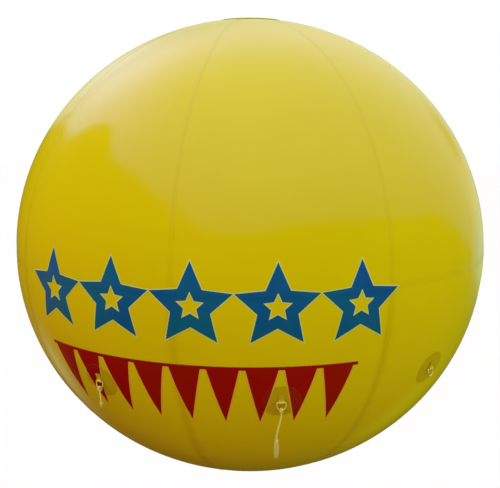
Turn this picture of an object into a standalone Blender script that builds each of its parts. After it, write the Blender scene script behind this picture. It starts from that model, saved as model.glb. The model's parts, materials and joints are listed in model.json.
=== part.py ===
"""Tethered advertising balloon: a film sphere of sixteen welded panels, with its fittings.

Metres, +Z up. The origin is the middle of the sphere, where its lift acts. Azimuth is counted
from the front (-Y), positive towards +X, and the middle of gore 1 is at azimuth 0.
"""
import math
from collections import namedtuple

import bpy
import bmesh
from mathutils import Matrix, Vector

# Envelope
envelope_radius = 1.200
envelope_half_height = 1.162
shell_thickness = 0.010
gore_count = 8
gore_steps = 6
latitude_steps = 10
panel_shift = 0.0025
panel_rise = 0.0012
polar_hole_radius = 0.060

# Clearance between pieces that touch, and what the film's flat facets add to it
gap = 0.0003
facet_play = 0.0001

# Weld bands: the strips of double film over the seams
weld_thickness = 0.001
meridian_weld_width = 0.020
equator_weld_width = 0.028
equator_steps = 64
equator_weld_lift = weld_thickness + 4 * gap
shortest_weld_step = 0.01

# Polar caps
cap_radius = 0.150
cap_thickness = 0.0015
cap_rings = 3
cap_steps = 24
cap_lift = weld_thickness + 3 * gap
weld_end_radius = 0.066

# Tether fittings
patch_radius = 0.085
patch_thickness = 0.0015
patch_curvature_radius = 1.170
patch_rings = 2
patch_steps = 18
ring_wire_radius = 0.003
ring_width = 0.039
ring_drop = 0.034
ring_corner_radius = 0.005
ring_corner_steps = 2
ring_arc_steps = 11
keeper_width = 0.026
keeper_wall = 0.002
keeper_play = 0.0004
keeper_tail = 0.036
keeper_wrap_start = 75.0
keeper_arc_steps = 10

# Half a facet of an eight-sided tube, which turns a flat of the ring's wire towards its middle
half_facet = math.radians(22.5)

# Cords tied to two of the rings
cord_radius = 0.0035
hitch_play = 0.0008
hitch_segments = 12
cord_segments = 8
cord_points = 16
tail_tip = 0.002
tail_steps = 12

# Filling valve under the bottom cap
valve_bore_radius = 0.0135
valve_neck_radius = 0.020
valve_neck_drop = 0.022
valve_flange_radius = 0.045
valve_flange_thickness = 0.003
valve_steps = 24
membrane_radius = 0.016
membrane_thickness = 0.001
lid_thickness = 0.004
lid_plug_radius = 0.0125
lid_plug_tip_radius = 0.0112
lid_plug_height = 0.006
lid_grip_length = 0.012
lid_grip_width = 0.014
lid_grip_overlap = 0.003
lid_grip_top_inset = 0.001
lid_grip_foot_inset = 0.0005
lid_arm_root = 0.017
lid_arm_inset = 0.0003
lid_arm_end_radius = 0.0035
lid_arm_end_start = 70.0
hinge_offset = 0.0265
hinge_eye_radius = 0.0045
hinge_pin_radius = 0.0018
hinge_pin_play = 0.0003
hinge_pin_phase = 15.0
hinge_knuckle_width = 0.010
hinge_lug_width = 0.004
hinge_lug_overlap = 0.0015
hinge_lug_shoulder = 0.003
hinge_lug_height = 0.012
hinge_lug_foot = 0.0008
hinge_lug_start = 20.0
hinge_arc_steps = 12

# Distances under which two points of a mesh are one
turned_merge = 0.00001
cap_merge = 0.000001

# One row for each tether fitting: its place on the film in degrees, and how far its patch
# stands off the smooth sphere, which seats it on the facets below
Fitting = namedtuple("Fitting", "number azimuth latitude lift")
fittings = [
    Fitting(1, 0.0, -24.2, 0.0009),
    Fitting(2, -43.5, -22.8, 0.0009),
    Fitting(3, -90.0, -23.0, 0.0009),
    Fitting(4, -135.0, -23.0, 0.0009),
    Fitting(5, 180.0, -23.0, 0.0009),
    Fitting(6, 135.0, -23.0, 0.0009),
    Fitting(7, 90.0, -23.0, 0.0009),
    Fitting(8, 40.5, -21.8, -0.0003),
]

# One row for each cord: the fitting that it is tied to, its length, how far its end drifts
# sideways, and the outline of the knotted tail below it as (radius, drop) pairs
Tie = namedtuple("Tie", "fitting length drift tail")
ties = [
    Tie(1, 0.112, -0.020, [(0.0065, 0.003), (0.0080, 0.008), (0.0062, 0.013), (0.0030, 0.017),
                           (0.0060, 0.030), (0.0095, 0.052), (0.0090, 0.074), (0.0050, 0.086)]),
    Tie(2, 0.046, 0.006, [(0.0060, 0.003), (0.0072, 0.007), (0.0055, 0.012), (0.0032, 0.016),
                          (0.0048, 0.024)]),
]

# One row for each finish; double film is darker than single film
film_colour = (0.62, 0.50, 0.010)
double_film_colour = (0.42, 0.34, 0.008)
Finish = namedtuple("Finish", "name colour roughness metallic")
finishes = [
    Finish("upper_film", film_colour, 0.18, 0.0),
    Finish("lower_film", film_colour, 0.20, 0.0),
    Finish("weld_film", double_film_colour, 0.25, 0.0),
    Finish("cap_film", film_colour, 0.22, 0.0),
    Finish("patch_film", double_film_colour, 0.28, 0.0),
    Finish("strap", (0.72, 0.60, 0.12), 0.55, 0.0),
    Finish("ring_steel", (0.80, 0.74, 0.62), 0.30, 0.9),
    Finish("cord", (0.78, 0.62, 0.34), 0.80, 0.0),
    Finish("valve_moulding", (0.80, 0.78, 0.70), 0.40, 0.0),
    Finish("valve_membrane", (0.10, 0.10, 0.10), 0.60, 0.0),
]


def clear_scene():
    for old in list(bpy.data.objects):
        bpy.data.objects.remove(old, do_unlink=True)


def make_material(finish):
    material = bpy.data.materials.new(finish.name)
    material.use_nodes = True
    shader = material.node_tree.nodes["Principled BSDF"]
    shader.inputs["Base Color"].default_value = (*finish.colour, 1.0)
    shader.inputs["Roughness"].default_value = finish.roughness
    shader.inputs["Metallic"].default_value = finish.metallic
    return material


def place(obj, collection, material, matrix=None):
    collection.objects.link(obj)
    obj.data.materials.append(material)
    if matrix is not None:
        obj.matrix_world = matrix
    return obj


def frame_matrix(x_axis, y_axis, z_axis, origin):
    """A placement whose local axes point along the three given directions."""
    columns = Matrix((x_axis, y_axis, z_axis)).transposed()
    return Matrix.Translation(origin) @ columns.to_4x4()


def add_screw(obj, steps, angle=2 * math.pi, merge=True):
    screw = obj.modifiers.new("turn", "SCREW")
    screw.axis = "Z"
    screw.angle = angle
    screw.steps = steps
    screw.render_steps = steps
    screw.use_merge_vertices = merge
    screw.merge_threshold = turned_merge
    screw.use_smooth_shade = True


def profile_mesh(name, points, closed):
    """A chain of edges in the XZ plane, from (radius, height) pairs."""
    mesh = bpy.data.meshes.new(name)
    count = len(points)
    edges = [(i, i + 1) for i in range(count - 1)]
    if closed:
        edges.append((count - 1, 0))
    mesh.from_pydata([(x, 0.0, z) for x, z in points], edges, [])
    return mesh


def turned(name, points, steps, closed=False):
    obj = bpy.data.objects.new(name, profile_mesh(name, points, closed))
    add_screw(obj, steps)
    return obj


def outline_curve(name, loops, half_width):
    """A flat outline with its holes, thickened to both sides."""
    curve = bpy.data.curves.new(name, "CURVE")
    curve.dimensions = "2D"
    curve.fill_mode = "BOTH"
    curve.extrude = half_width
    for loop in loops:
        spline = curve.splines.new("POLY")
        spline.points.add(len(loop) - 1)
        spline.use_cyclic_u = True
        for point, (x, y) in zip(spline.points, loop):
            point.co = (x, y, 0.0, 1.0)
    return bpy.data.objects.new(name, curve)


def tube_curve(name, points, radius, closed, tilt=0.0):
    curve = bpy.data.curves.new(name, "CURVE")
    curve.dimensions = "3D"
    curve.bevel_depth = radius
    curve.bevel_resolution = 2
    curve.use_fill_caps = not closed
    spline = curve.splines.new("POLY")
    spline.points.add(len(points) - 1)
    spline.use_cyclic_u = closed
    for point, place_on_path in zip(spline.points, points):
        point.co = (*place_on_path, 1.0)
        point.tilt = tilt
    return bpy.data.objects.new(name, curve)


def arc(centre, radius, start, end, steps):
    """Points along an arc of a circle, with angles in degrees."""
    points = []
    for i in range(steps + 1):
        angle = math.radians(start + (end - start) * i / steps)
        points.append((centre[0] + radius * math.cos(angle), centre[1] + radius * math.sin(angle)))
    return points


def heading(azimuth):
    """Unit vector that points outwards, level, at an azimuth in degrees."""
    angle = math.radians(azimuth)
    return Vector((math.sin(angle), -math.cos(angle), 0.0))


def turn_about_z(azimuth):
    """The turn that carries +X round to an azimuth."""
    return Matrix.Rotation(math.radians(azimuth - 90.0), 4, "Z")


def meridian(angle, offset=0.0):
    """Radius and height of the film's outer face at an angle of its ellipse, plus an offset."""
    c = math.cos(angle)
    s = math.sin(angle)
    normal = Vector((c * envelope_half_height, s * envelope_radius)).normalized()
    return (envelope_radius * c + offset * normal.x, envelope_half_height * s + offset * normal.y)


def angle_at_radius(radius):
    return math.acos(radius / envelope_radius)


def pole_angles():
    """The ellipse's angles from the polar hole down to the equator."""
    top = angle_at_radius(polar_hole_radius)
    return [top * (1.0 - i / latitude_steps) for i in range(latitude_steps + 1)]


def build_panels(collection, upper_material, lower_material):
    """Eight upper and eight lower panels, each an open piece of the sphere with its wall inwards.

    Each panel is moved out by panel_shift and away from the equator by panel_rise, which
    leaves an even slot between neighbours under the weld bands.
    """
    gore_angle = 2 * math.pi / gore_count
    for prefix, side, material in (("upper", 1, upper_material), ("lower", -1, lower_material)):
        outline = []
        for angle in pole_angles():
            radius, height = meridian(angle)
            raised = panel_rise + height * (1.0 - panel_rise / envelope_half_height)
            outline.append((radius - panel_shift, side * raised))
        if side < 0:
            outline.reverse()
        mesh = profile_mesh(prefix + "_panel", outline, False)
        for gore in range(gore_count):
            azimuth = gore * 360.0 / gore_count
            obj = bpy.data.objects.new("%s_panel_%d" % (prefix, gore + 1), mesh)
            add_screw(obj, gore_steps, gore_angle, merge=False)
            wall = obj.modifiers.new("wall", "SOLIDIFY")
            wall.thickness = shell_thickness
            wall.offset = -1.0
            wall.use_even_offset = True
            shift = Matrix.Translation(heading(azimuth) * panel_shift)
            collection.objects.link(obj)
            if not mesh.materials:
                mesh.materials.append(material)
            obj.matrix_world = shift @ turn_about_z(azimuth) @ Matrix.Rotation(-gore_angle / 2, 4, "Z")


def build_meridian_welds(collection, material):
    """One band over each upright seam, from cap to cap."""
    end = angle_at_radius(weld_end_radius)
    half = [end] + [a for a in pole_angles() if a < end - shortest_weld_step]
    angles = half + [-a for a in reversed(half[:-1])]
    lift = gap + facet_play
    inner = [meridian(a, lift) for a in angles]
    outer = [meridian(a, lift + weld_thickness) for a in reversed(angles)]
    for gore in range(gore_count):
        azimuth = (gore + 0.5) * 360.0 / gore_count
        out = heading(azimuth)
        up = Vector((0.0, 0.0, 1.0))
        obj = outline_curve("meridian_weld_%d" % (gore + 1), [inner + outer], meridian_weld_width / 2)
        place(obj, collection, material, frame_matrix(out, up, out.cross(up), Vector()))


def build_equator_weld(collection, material):
    inner = envelope_radius + equator_weld_lift
    outer = inner + weld_thickness
    half = equator_weld_width / 2
    ring = [(inner, half), (outer, half), (outer, -half), (inner, -half)]
    place(turned("equator_weld", ring, equator_steps, closed=True), collection, material)


def cap_outline(hole_radius):
    """The two faces of a polar cap, which lies over the ends of the weld bands."""
    radii = [hole_radius + (cap_radius - hole_radius) * i / cap_rings for i in range(cap_rings + 1)]
    under = [meridian(angle_at_radius(r), cap_lift) for r in radii]
    over = [meridian(angle_at_radius(r), cap_lift + cap_thickness) for r in radii]
    return over, under


def build_caps(collection, material):
    over, under = cap_outline(0.0)
    over[0] = (0.0, over[0][1])
    under[0] = (0.0, under[0][1])
    place(turned("top_cap", over + under[::-1], cap_steps), collection, material)
    over, under = cap_outline(valve_bore_radius)
    lower = [(r, -z) for r, z in under] + [(r, -z) for r, z in over[::-1]]
    place(turned("bottom_cap", lower, cap_steps, closed=True), collection, material)


def fitting_frame(fitting):
    """Where a fitting sits: its point on the film, and the directions out, along and up."""
    latitude = math.radians(fitting.latitude)
    squash = envelope_half_height / envelope_radius
    angle = math.atan(math.tan(latitude) / squash)
    radius, height = meridian(angle)
    level = heading(fitting.azimuth)
    point = level * radius + Vector((0.0, 0.0, height))
    out_radius, out_height = meridian(angle, 1.0)
    out = (level * (out_radius - radius) + Vector((0.0, 0.0, out_height - height))).normalized()
    along = Vector((0.0, 0.0, 1.0)).cross(level)
    return point, out, along, out.cross(along)


def hinge_point(fitting):
    """The middle of the bar of a fitting's ring."""
    point, out, _, _ = fitting_frame(fitting)
    bar = ring_wire_radius + keeper_play + keeper_wall
    return point + out * (fitting.lift + patch_thickness + gap + bar)


def build_patch(fitting, collection, material):
    """A round patch of film, dished to the sphere."""
    point, out, along, up = fitting_frame(fitting)
    under = []
    for i in range(patch_rings + 1):
        r = patch_radius * i / patch_rings
        drop = patch_curvature_radius - math.sqrt(patch_curvature_radius ** 2 - r * r)
        under.append((r, fitting.lift - drop))
    over = [(r, z + patch_thickness) for r, z in under]
    obj = turned("tether_patch_%d" % fitting.number, over + under[::-1], patch_steps)
    place(obj, collection, material, frame_matrix(along, up, out, point))


def build_keeper(fitting, collection, material):
    """A strap that passes round the ring's bar, with both ends welded flat on the patch."""
    point, out, along, up = fitting_frame(fitting)
    eye = ring_wire_radius + keeper_play
    outer = eye + keeper_wall
    middle = (outer, 0.0)
    doubled = 2 * keeper_wall
    wrap = arc(middle, outer, keeper_wrap_start, -180.0, keeper_arc_steps)
    outline = [(0.0, keeper_tail), (doubled, keeper_tail), (doubled, outer + keeper_wall)] + wrap
    hole = arc(middle, eye, 0.0, 360.0, keeper_arc_steps)[:-1]
    obj = outline_curve("tether_keeper_%d" % fitting.number, [outline, hole], keeper_width / 2)
    base = point + out * (fitting.lift + patch_thickness + gap)
    place(obj, collection, material, frame_matrix(out, up, out.cross(up), base))


def ring_path():
    """The middle line of the ring, hanging from its bar: a D with its straight side on top."""
    half = ring_width / 2
    corner = ring_corner_radius
    path = arc((half - corner, -corner), corner, 90.0, 0.0, ring_corner_steps)
    path += arc((0.0, half - ring_drop), half, 0.0, -180.0, ring_arc_steps)
    path += arc((corner - half, -corner), corner, 180.0, 90.0, ring_corner_steps)
    return path


def build_ring(fitting, collection, material):
    along = fitting_frame(fitting)[2]
    up = Vector((0.0, 0.0, 1.0))
    path = [(x, y, 0.0) for x, y in ring_path()]
    name = "tether_ring_%d" % fitting.number
    obj = tube_curve(name, path, ring_wire_radius, True, tilt=half_facet)
    place(obj, collection, material, frame_matrix(along, up, along.cross(up), hinge_point(fitting)))


def build_tie(number, tie, collection, cord_material):
    """The hitch round the ring, the cord that hangs from it, and the knotted tail."""
    fitting = fittings[tie.fitting - 1]
    along = fitting_frame(fitting)[2]
    up = Vector((0.0, 0.0, 1.0))
    level = along.cross(up)
    top = hinge_point(fitting) - up * ring_drop
    major = ring_wire_radius + hitch_play + cord_radius
    bpy.ops.mesh.primitive_torus_add(major_segments=hitch_segments, minor_segments=cord_segments,
                                     major_radius=major, minor_radius=cord_radius)
    hitch = bpy.context.object
    for owner in list(hitch.users_collection):
        owner.objects.unlink(hitch)
    hitch.name = "tie_hitch_%d" % number
    place(hitch, collection, cord_material, frame_matrix(up, level, along, top))
    start = top - up * (major + cord_radius + gap)
    route = []
    for i in range(cord_points + 1):
        share = i / cord_points
        sideways = tie.drift * (3 * share ** 2 - 2 * share ** 3)
        route.append(start + along * sideways - up * (tie.length * share))
    cord = tube_curve("tie_cord_%d" % number, route, cord_radius, False)
    place(cord, collection, cord_material)
    end = route[-1] - up * gap
    foot = (0.0, -tie.tail[-1][1] - tail_tip)
    outline = [(0.0, 0.0)] + [(r, -drop) for r, drop in tie.tail] + [foot]
    tail = turned("tie_tail_%d" % number, outline, tail_steps)
    place(tail, collection, cord_material, Matrix.Translation(end))


def mesh_copy(obj, name):
    """The finished shape of a curve as a mesh, with its loose caps welded."""
    bpy.context.view_layer.update()
    depsgraph = bpy.context.evaluated_depsgraph_get()
    mesh = bpy.data.meshes.new_from_object(obj.evaluated_get(depsgraph))
    work = bmesh.new()
    work.from_mesh(mesh)
    bmesh.ops.remove_doubles(work, verts=work.verts, dist=cap_merge)
    work.to_mesh(mesh)
    work.free()
    copy = bpy.data.objects.new(name, mesh)
    copy.matrix_world = obj.matrix_world.copy()
    bpy.data.objects.remove(obj, do_unlink=True)
    return copy


def add_boolean(obj, other, operation):
    boolean = obj.modifiers.new(operation.lower(), "BOOLEAN")
    boolean.object = other
    boolean.operation = operation
    boolean.solver = "EXACT"


def as_tool(obj, tools):
    tools.objects.link(obj)
    obj.hide_render = True
    obj.display_type = "WIRE"
    return obj


def hinge_piece(name, outline, width, y_middle, tools):
    """A flat outline in the XZ plane with a given width along Y, as a mesh."""
    obj = outline_curve(name, outline, width / 2)
    obj.matrix_world = frame_matrix(Vector((1, 0, 0)), Vector((0, 0, 1)), Vector((0, -1, 0)),
                                    Vector((0.0, y_middle, 0.0)))
    tools.objects.link(obj)
    return as_tool(mesh_copy(obj, name), tools)


def valve_top():
    """Height of the flange's upper face, just under the bottom cap."""
    return -(envelope_half_height + cap_lift + cap_thickness + gap)


def hinge_centre():
    """Where the lid's hinge lies, as (x, z)."""
    return (hinge_offset, valve_top() - valve_neck_drop - gap - lid_thickness / 2)


def build_valve(collection, tools, body_material, membrane_material):
    top = valve_top()
    foot = top - valve_neck_drop
    seat = membrane_thickness + gap
    base_outline = [
        (membrane_radius + gap, top),
        (valve_flange_radius, top),
        (valve_flange_radius, top - valve_flange_thickness),
        (valve_neck_radius, top - valve_flange_thickness),
        (valve_neck_radius, foot),
        (valve_bore_radius, foot),
        (valve_bore_radius, top - seat),
        (membrane_radius + gap, top - seat),
    ]
    base = turned("valve_base", base_outline, valve_steps, closed=True)
    place(base, collection, body_material)
    centre = hinge_centre()
    eye = hinge_pin_radius + hinge_pin_play
    lug_root = valve_neck_radius - hinge_lug_overlap
    lug = [
        (lug_root, foot + hinge_lug_height),
        (valve_neck_radius + hinge_lug_shoulder, foot + hinge_lug_height),
    ]
    lug += arc(centre, hinge_eye_radius, hinge_lug_start, -180.0, hinge_arc_steps)
    lug += [
        (centre[0] - hinge_eye_radius, foot + hinge_lug_foot),
        (lug_root, foot + hinge_lug_foot),
    ]
    lug_hole = arc(centre, eye, 0.0, 360.0, hinge_arc_steps)[:-1]
    offset = hinge_knuckle_width / 2 + gap + hinge_lug_width / 2
    for side, label in ((-1, "left"), (1, "right")):
        name = "hinge_lug_" + label
        piece = hinge_piece(name, [lug, lug_hole], hinge_lug_width, side * offset, tools)
        add_boolean(base, piece, "UNION")

    membrane = [
        (0.0, top - gap),
        (membrane_radius, top - gap),
        (membrane_radius, top - membrane_thickness),
        (0.0, top - membrane_thickness),
    ]
    place(turned("valve_membrane", membrane, valve_steps), collection, membrane_material)

    lid_top = foot - gap
    lid_foot = lid_top - lid_thickness
    lid_outline = [
        (0.0, lid_top + lid_plug_height),
        (lid_plug_tip_radius, lid_top + lid_plug_height),
        (lid_plug_radius, lid_top),
        (valve_neck_radius, lid_top),
        (valve_neck_radius, lid_foot),
        (0.0, lid_foot),
    ]
    lid = place(turned("valve_lid", lid_outline, valve_steps), collection, body_material)
    arm_top = lid_top - lid_arm_inset
    arm = [(lid_arm_root, arm_top), (centre[0], arm_top)]
    arm += arc(centre, lid_arm_end_radius, lid_arm_end_start, -90.0, hinge_arc_steps)
    arm += [(lid_arm_root, lid_foot + lid_arm_inset)]
    add_boolean(lid, hinge_piece("lid_arm", [arm], hinge_knuckle_width, 0.0, tools), "UNION")
    pin_end = hinge_pin_phase + 360.0
    pin = arc(centre, hinge_pin_radius, hinge_pin_phase, pin_end, hinge_arc_steps)[:-1]
    pin_width = hinge_knuckle_width + 2 * (gap + hinge_lug_width)
    add_boolean(lid, hinge_piece("lid_trunnions", [pin], pin_width, 0.0, tools), "UNION")
    grip_inner = -(valve_neck_radius - lid_grip_overlap)
    grip_outer = grip_inner - lid_grip_length
    grip_top = lid_top - lid_grip_top_inset
    grip_foot = lid_foot + lid_grip_foot_inset
    grip = [
        (grip_outer, grip_top),
        (grip_inner, grip_top),
        (grip_inner, grip_foot),
        (grip_outer, grip_foot),
    ]
    add_boolean(lid, hinge_piece("lid_grip", [grip], lid_grip_width, 0.0, tools), "UNION")


def main():
    clear_scene()
    parts = bpy.data.collections.new("advertising_balloon")
    tools = bpy.data.collections.new("cutters")
    bpy.context.scene.collection.children.link(parts)
    bpy.context.scene.collection.children.link(tools)

    materials = {finish.name: make_material(finish) for finish in finishes}
    build_panels(parts, materials["upper_film"], materials["lower_film"])
    build_meridian_welds(parts, materials["weld_film"])
    build_equator_weld(parts, materials["weld_film"])
    build_caps(parts, materials["cap_film"])
    for fitting in fittings:
        build_patch(fitting, parts, materials["patch_film"])
        build_keeper(fitting, parts, materials["strap"])
        build_ring(fitting, parts, materials["ring_steel"])
    for number, tie in enumerate(ties, start=1):
        build_tie(number, tie, parts, materials["cord"])
    build_valve(parts, tools, materials["valve_moulding"], materials["valve_membrane"])


main()
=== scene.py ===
# %% [markdown]
# Dressing a tethered advertising balloon
#
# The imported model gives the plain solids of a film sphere 2.4 m across: welded panels, the
# bands over their seams, the tether fittings, two tied cords and a filling valve. This file
# lays the fine surfaces over those solids and gives each one its finish. They could be modelled
# by hand in edit mode, but here everything is worked out from the sphere's own formula, so that
# a band, a patch or a piece of print always lies on the film, whichever side it is seen from.

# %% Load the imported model
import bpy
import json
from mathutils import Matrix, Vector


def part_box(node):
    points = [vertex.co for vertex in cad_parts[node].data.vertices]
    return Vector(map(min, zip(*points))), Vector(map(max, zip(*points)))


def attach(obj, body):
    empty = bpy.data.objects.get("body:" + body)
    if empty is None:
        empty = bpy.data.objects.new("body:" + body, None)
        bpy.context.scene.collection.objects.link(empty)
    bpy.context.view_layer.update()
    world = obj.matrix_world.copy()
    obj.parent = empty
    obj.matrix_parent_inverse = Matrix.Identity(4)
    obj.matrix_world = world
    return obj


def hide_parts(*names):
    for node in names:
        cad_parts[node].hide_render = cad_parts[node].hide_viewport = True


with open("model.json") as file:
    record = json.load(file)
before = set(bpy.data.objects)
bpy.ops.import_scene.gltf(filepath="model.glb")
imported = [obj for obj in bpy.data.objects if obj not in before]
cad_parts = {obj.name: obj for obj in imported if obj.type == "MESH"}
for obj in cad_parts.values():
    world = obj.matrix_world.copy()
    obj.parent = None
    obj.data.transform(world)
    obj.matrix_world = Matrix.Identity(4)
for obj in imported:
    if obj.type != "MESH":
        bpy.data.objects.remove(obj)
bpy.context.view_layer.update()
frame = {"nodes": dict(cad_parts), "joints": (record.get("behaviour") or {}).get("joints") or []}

import json

import bmesh
import bpy
import numpy as np
from mathutils import Vector

joints = {joint["name"]: joint for joint in frame["joints"]}
print("solids:", len(frame["nodes"]), "joints:", len(joints))

# %% [markdown]
# The camera looks slightly down on the front of the balloon from close by, which is why the
# outline is so large against the seams. It could be placed by eye. Here a lens and a distance
# were fitted to the outline and to three seams together, because only both together give the
# true perspective. The azimuth is counted from the front (-Y), towards +X.

# %% Camera
camera_azimuth = np.radians(-6.99)
camera_elevation = np.radians(9.25)
camera_roll = np.radians(0.2)
camera_distance = 4.660
camera_lens = 63.15
camera_shift = (-0.0001, 0.0004)
camera_near = 0.1
camera_far = 300.0


def direction(azimuth, elevation):
    """Unit vector towards an azimuth and elevation: level part by sine and cosine, then height."""
    level = np.cos(elevation)
    return np.stack([np.sin(azimuth) * level, -np.cos(azimuth) * level,
                     np.sin(elevation) + 0.0 * azimuth], axis=-1)


def add_camera():
    """Stands the camera on a ray from the origin, looks back along it and rolls it a little."""
    back = Vector(direction(camera_azimuth, camera_elevation))
    data = bpy.data.cameras.new("photo_camera")
    data.lens = camera_lens
    data.shift_x, data.shift_y = camera_shift
    data.clip_start, data.clip_end = camera_near, camera_far
    camera = bpy.data.objects.new("photo_camera", data)
    camera.location = back * camera_distance
    camera.rotation_euler = (-back).to_track_quat("-Z", "Y").to_euler()
    camera.rotation_euler.rotate_axis("Z", camera_roll)
    bpy.context.scene.collection.objects.link(camera)
    bpy.context.scene.camera = camera
    print("camera at", [round(x, 3) for x in camera.location])


add_camera()

# %% [markdown]
# A sphere welded from panels ends up slightly flatter than it is wide, so it is an ellipse
# turned about Z. A sphere primitive could be scaled to that shape, but a formula can be asked
# for the point and the normal at any place. It takes two parameters: the azimuth, and the
# ellipse's own angle, which is 0 on the equator and a right angle at the top. Everything below
# passes these two as whole arrays.

# %% The smooth sphere
film_radius = float(-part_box("lower_panel_1")[0].y)
film_half_height = 1.162
gore_count = 8
gore_angle = 2 * np.pi / gore_count
up = np.array([0.0, 0.0, 1.0])
print("film radius", round(film_radius, 4))


def film_frame(azimuth, angle):
    """Points and outward normals of the ellipse (R cos a, H sin a) turned to each azimuth."""
    azimuth, angle = np.broadcast_arrays(azimuth, angle)
    level = direction(azimuth, np.zeros_like(azimuth))
    c, s = np.cos(angle)[..., None], np.sin(angle)[..., None]
    points = level * (film_radius * c) + up * (film_half_height * s)
    normals = level * (film_half_height * c) + up * (film_radius * s)
    return points, normals / np.linalg.norm(normals, axis=-1, keepdims=True)


def film_points(azimuth, angle, height):
    """The film's points, each moved out along its normal by a height."""
    points, normals = film_frame(azimuth, angle)
    return points + normals * np.asarray(height)[..., None]


def film_slope(angle):
    """Metres along the film for each radian of the ellipse's angle: its derivative's length."""
    return np.hypot(film_radius * np.sin(angle), film_half_height * np.cos(angle))


def step_beside(azimuth, angle, east, north):
    """The azimuth and angle of places that lie east and north of others, in metres on the film."""
    beside = angle + north / film_slope(angle)
    return azimuth + east / (film_radius * np.cos(beside)), beside


def angle_at_radius(radius):
    """The ellipse's angle where the film is a radius away from the axis: arccos(radius / R)."""
    return np.arccos(radius / film_radius)


# %% [markdown]
# Welding draws the film in along each seam, and the pull shows as a shallow valley with short
# puckers across it that die out within a hand's width. A bump map could hint at them, but only
# real relief shows at the outline. A sum of waves whose height falls off with the distance to
# the seam gives both. The seams stand at the edges of the eight gores and along the equator.

# %% Relief of the film
seam_dip = 0.0011
seam_dip_reach = 0.060
pucker_height = 0.00045
pucker_reach = 0.070
pucker_length = 0.125
pucker_drift = 0.41
pucker_turns = 58
pucker_bend = 1.6
drift_bend = 1.9
drift_lobes = 3
around_bend = 1.3
around_lobes = 7
pole_fade = 0.3


def seam_distance(azimuth, angle):
    """Metres along the film to the nearest upright seam, half a gore off each gore's middle."""
    share = np.mod(azimuth / gore_angle, 1.0)
    return np.abs(share - 0.5) * gore_angle * film_radius * np.cos(angle)


def equator_distance(angle):
    """Metres to the equator seam: half the height times the angle, which is close near the seam."""
    return film_half_height * np.abs(angle)


def off_pole(angle):
    """cos(angle) / pole_fade, held between 0 and 1, which fades the seams out towards a pole."""
    return np.clip(np.cos(angle) / pole_fade, 0.0, 1.0)


def film_relief(azimuth, angle):
    """A valley along each seam, exp(-(d / reach) squared) deep, and a wave across it that fades."""
    upright = seam_distance(azimuth, angle)
    level = equator_distance(angle)
    valley = np.exp(-(upright / seam_dip_reach) ** 2) * off_pole(angle)
    valley = np.maximum(valley, np.exp(-(level / seam_dip_reach) ** 2))
    along = film_radius * angle
    drift = 2 * np.pi * along / pucker_drift + drift_bend * np.sin(drift_lobes * azimuth)
    wave = np.sin(2 * np.pi * along / pucker_length + pucker_bend * np.sin(drift))
    around = np.sin(pucker_turns * azimuth + around_bend * np.sin(around_lobes * azimuth))
    upright_pucker = wave * np.exp(-(upright / pucker_reach) ** 2) * off_pole(angle)
    level_pucker = around * np.exp(-(level / pucker_reach) ** 2)
    return -seam_dip * valley + pucker_height * (upright_pucker + level_pucker)


print("relief on a seam, mm:", round(float(film_relief(gore_angle / 2, 0.3)) * 1000, 2))

# %% [markdown]
# Light comes through the film from inside. Along a seam it has two layers to pass and the film
# is drawn together, so below the equator, where no sky falls on it, each upright seam lies in
# shade and reads as a soft dark line. A shader that scatters light inside the film would give
# that slowly, and a picture would stretch towards the poles. Instead each point carries a number
# that falls off with its distance to the seam, and the finish paints that shade into its colour.

# %% Shade along the seams
seam_shade_reach = 0.022
seam_shade_fade = 4.0


def seam_shade(azimuth, angle):
    """Painted shade: exp(-(d / reach) squared) by the distance to an upright seam, fading above the
    equator.
    """
    below = np.clip(0.5 - seam_shade_fade * angle, 0.0, 1.0)
    near = np.exp(-(seam_distance(azimuth, angle) / seam_shade_reach) ** 2)
    return below * off_pole(angle) * near


shades = [round(float(seam_shade(place, -0.4)), 2) for place in (gore_angle / 2, 0.0)]
print("shade on a seam and between two:", shades)

# %% [markdown]
# Each new piece is a grid of points, or a batch of equal grids. Its faces could be made one by
# one, which is slow in Python, so the grid's squares are worked out as one array of indices. A
# row or column may wrap round on itself, and where a whole row falls on one point, the doubles
# are merged, which closes a pole.

# %% Grids into meshes
merge_distance = 0.0000015


def grid_corners(rows, columns):
    """Row and column numbers of the four corners of every square, walked one way round."""
    row, column = np.meshgrid(np.arange(rows), np.arange(columns), indexing="ij")
    row, column = row.ravel(), column.ravel()
    return (np.stack([row, row, row + 1, row + 1], axis=-1),
            np.stack([column, column + 1, column + 1, column], axis=-1))


print("rows and columns round a square:", [corner.tolist() for corner in grid_corners(1, 1)])


def add_trait(mesh, trait, values):
    """A named number on every point of a mesh, which a finish can read."""
    made = mesh.attributes.new(trait, "FLOAT", "POINT")
    made.data.foreach_set("value", np.ravel(values))


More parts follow.
